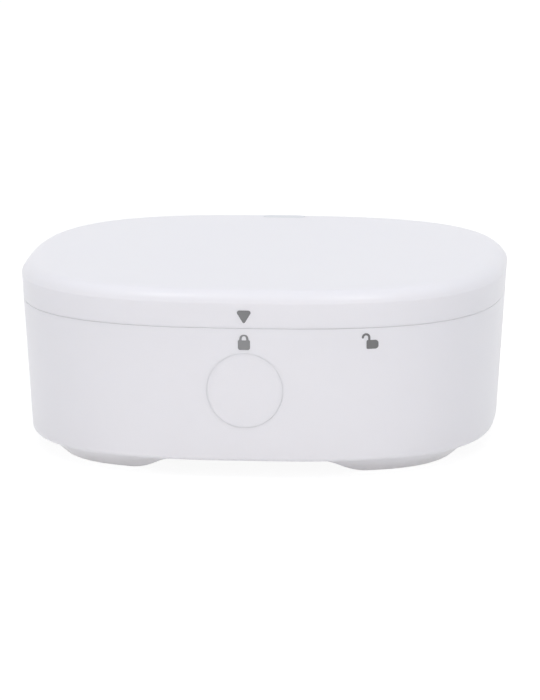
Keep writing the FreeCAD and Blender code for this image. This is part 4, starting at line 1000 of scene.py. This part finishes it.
def write_print_tree():
    tree = Tree("print_on_wall", ink="Float")
    line = tree.node("GeometryNodeMeshToCurve", tree["Geometry"])
    filled = tree.node("GeometryNodeFillCurve", tree.out(line))
    x, z, _ = tree.parts(tree.position())
    place = tree.vector(x, wall_distance(x, z) * -1.0, z)
    laid = tree.out(tree.node("GeometryNodeSetPosition", tree.out(filled), True, place))
    forward = tree.vector(0.0, -1.0, 0.0)
    raised = tree.node("GeometryNodeExtrudeMesh", laid, True, forward, tree["ink"], False)
    back = tree.node("GeometryNodeFlipFaces", laid)
    both = tree.node("GeometryNodeJoinGeometry")
    for part in (raised, back):
        tree.group.links.new(part.outputs[0], both.inputs[0])
    tree.finish(tree.weld(tree.out(both), INK_WELD))
    return tree


print_tree = write_print_tree()


def print_mark(name, ink, *outlines):
    """Closed outlines of (x, z) points, printed on the wall in one ink."""
    points, edges = [], []
    for outline in outlines:
        first, count = len(points), len(outline)
        points += [(x, z, 0.0) for x, z in outline]
        edges += [(first + i, first + (i + 1) % count) for i in range(count)]
    seed = seed_mesh(name, points, edges)
    grown = grow(name, print_tree, seed, ink=INK_THICKNESS * MM, material=inks[ink])
    return sharpen(grown, INK_CREASE)


# %% Helpers that draw the marks
def rounded(corners, steps=8):
    """A closed outline through (x, z, radius) corners."""
    made = []
    count = len(corners)
    for i, (x, z, radius) in enumerate(corners):
        corner = Vector((x, z))
        before = (Vector(corners[i - 1][:2]) - corner).normalized()
        after = (Vector(corners[(i + 1) % count][:2]) - corner).normalized()
        half = math.acos(max(-1.0, min(1.0, before.dot(after)))) / 2
        reach = radius / math.tan(half)
        centre = corner + (before + after).normalized() * radius / math.sin(half)
        start = corner + before * reach - centre
        end = corner + after * reach - centre
        turn = math.atan2(start.x * end.y - start.y * end.x, start.dot(end))
        for k in range(steps + 1):
            angle = turn * k / steps
            cos, sin = math.cos(angle), math.sin(angle)
            made.append((centre.x + start.x * cos - start.y * sin,
                         centre.y + start.x * sin + start.y * cos))
    return made


def mirrored(middle, right_side):
    """Corners down the right side of middle, and the same back up its left side."""
    right = [(middle + x, z, radius) for x, z, radius in right_side]
    return right + [(middle - x, z, radius) for x, z, radius in right_side[::-1]]


# %% Print the triangle and the closed lock
MARK_MIDDLE = -0.06
TRIANGLE_HALF, TRIANGLE_TOP, TRIANGLE_TIP = 1.36, 26.94, 24.72
TOP_CORNER, TIP_CORNER = 0.36, 0.22
# Both lists go down the right side: across from the middle, height, corner radius.
LOCK_SIDE = [(0.57, 23.05, 0.62), (0.76, 22.2, 0.12), (0.96, 22.08, 0.16), (0.96, 20.59, 0.38)]
SHACKLE_HOLE = [(0.24, 22.81, 0.24), (0.41, 22.13, 0.14)]

triangle_corners = [
    (MARK_MIDDLE - TRIANGLE_HALF, TRIANGLE_TOP, TOP_CORNER),
    (MARK_MIDDLE + TRIANGLE_HALF, TRIANGLE_TOP, TOP_CORNER),
    (MARK_MIDDLE, TRIANGLE_TIP, TIP_CORNER),
]
triangle_mark = print_mark("triangle_mark", "triangle_ink", rounded(triangle_corners))
closed_lock_mark = print_mark(
    "closed_lock_mark",
    "closed_lock_ink",
    rounded(mirrored(MARK_MIDDLE, LOCK_SIDE)),
    rounded(mirrored(MARK_MIDDLE, SHACKLE_HOLE)),
)
print("triangle and closed lock:", len(triangle_mark.data.polygons),
      len(closed_lock_mark.data.polygons), "faces")

# %% Print the open lock
BODY_LEFT, BODY_RIGHT, BODY_LOW, BODY_HIGH = 19.04, 20.87, 20.68, 22.1
SHACKLE_X, SHACKLE_Z, SHACKLE_RADIUS = 18.97, 22.55, 0.49
HALF_BAND = 0.17  # half the width of the shackle's line
SHACKLE_STEPS = 20
# The hook's rounded end: a share of the half band across, and how far down.
HOOK_END = [(1.0, 0.06), (0.5, 0.15), (-0.6, 0.15), (-1.0, 0.04)]


def open_lock():
    """The body, and a shackle that ends in a hook on the left, in one outline."""
    band = HALF_BAND
    turns = [math.radians(180 * i / SHACKLE_STEPS) for i in range(SHACKLE_STEPS + 1)]
    hook = arc(SHACKLE_RADIUS - band, turns, SHACKLE_X, SHACKLE_Z)
    for share, down in HOOK_END:
        hook.append((SHACKLE_X - SHACKLE_RADIUS + share * band, SHACKLE_Z - down))
    hook += arc(SHACKLE_RADIUS + band, turns[::-1], SHACKLE_X, SHACKLE_Z)
    body = rounded([
        (BODY_RIGHT, BODY_HIGH, 0.5),
        (BODY_RIGHT, BODY_LOW, 0.52),
        (BODY_LEFT, BODY_LOW, 0.18),
        (BODY_LEFT, BODY_HIGH, 0.2),
    ])
    foot = SHACKLE_X + SHACKLE_RADIUS
    return [(foot + band, BODY_HIGH)] + body + [(foot - band, BODY_HIGH)] + hook


open_lock_mark = print_mark("open_lock_mark", "open_lock_ink", open_lock())
print("open lock:", len(open_lock_mark.data.polygons), "faces")

# %% [markdown]
# ## The other finishes
# The pieces inside keep their CAD shapes, as do the status window and the probes, which
# show only an end each. They could be made again here, but their shapes are right as they
# are, so they only get finishes of their own: drawn steel and brass, green laminate with
# its tracks, black chips, rubber seals and the pale ceramic of the sounder. Each slot of
# the record names the finish that its pieces take.

# %% Dress the pieces that keep their CAD shapes
DRAWN_DOWN, DRAWN_FINER, DRAWN_ALONG = (1.0, 1.0, 6.0), (1.0, 1.0, 8.0), (0.2, 1.0, 1.0)
METAL = {"Metallic": 1.0}
INNER = {
    # slot: colour, then what differs from plain moulded plastic
    "deck_plastic": ((0.78, 0.78, 0.80), dict(rough=(0.5, 0.6), bump=0.08)),
    "light_guide": ((0.69, 0.70, 0.72), dict(rough=(0.3, 0.36))),
    "seal_rubber": ((0.020, 0.020, 0.022), dict(rough=(0.6, 0.75), grain=4000.0, bump=0.1)),
    "screw_steel": ((0.62, 0.62, 0.64), dict(rough=(0.28, 0.4), stretch=DRAWN_DOWN, **METAL)),
    "probe_metal": ((0.70, 0.68, 0.65), dict(rough=(0.15, 0.25), stretch=DRAWN_FINER, **METAL)),
    "spring_metal": ((0.72, 0.72, 0.72), dict(rough=(0.18, 0.3), stretch=DRAWN_ALONG, **METAL)),
    "board_laminate": ((0.02, 0.13, 0.05), dict(rough=(0.25, 0.35), lines="tracks", grain=260.0)),
    "chip_black": ((0.018, 0.018, 0.02), dict(rough=(0.55, 0.7), grain=6000.0, bump=0.1)),
    "plunger_plastic": ((0.60, 0.58, 0.52), dict(rough=(0.4, 0.5))),
    "lamp": ((0.80, 0.74, 0.42), dict(rough=(0.1, 0.15))),
    "cell_wrap": (
        (0.035, 0.037, 0.045), dict(rough=(0.2, 0.3), grain=900.0, stretch=(0.1, 1.0, 1.0))
    ),
    "sounder_brass": ((0.72, 0.52, 0.22), dict(rough=(0.2, 0.32), **METAL)),
    "sounder_ceramic": ((0.72, 0.69, 0.60), dict(rough=(0.5, 0.6), grain=5000.0, bump=0.1)),
    "membrane": (
        (0.78, 0.78, 0.78), dict(rough=(0.8, 0.9), lines="weave", grain=2500.0, bump=0.3)
    ),
}

finishes = {}
for slot_name, (colour, facts) in INNER.items():
    finishes[slot_name] = finish_of("inner_" + slot_name, colour, **facts)
for subpart in frame["record"]["subparts"]:
    paint = finishes.get(subpart["material_slot"])
    if paint:
        for holder in frame["nodes"][subpart["node"]].material_slots:
            holder.material = paint
print("inner finishes:", len(finishes))

# %% [markdown]
# ## What moves with what
# The lid turns, the button slides, and the base stands still, so each made piece rides on
# one of these three bodies, and the shell pieces stand for the CAD nodes of their names.
# The triangle is printed on the lid and turns with it, away from the closed lock.

# %% Ride and replace
for piece, body, node in (
    (base_housing, "base", "base_housing"),
    (lid_shell, "lid", "lid_shell"),
    (button_cap, "button", "button_cap"),
):
    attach(piece, body)
    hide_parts(node)
for piece, body in (
    (triangle_mark, "lid"),
    (closed_lock_mark, "base"),
    (open_lock_mark, "base"),
):
    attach(piece, body)
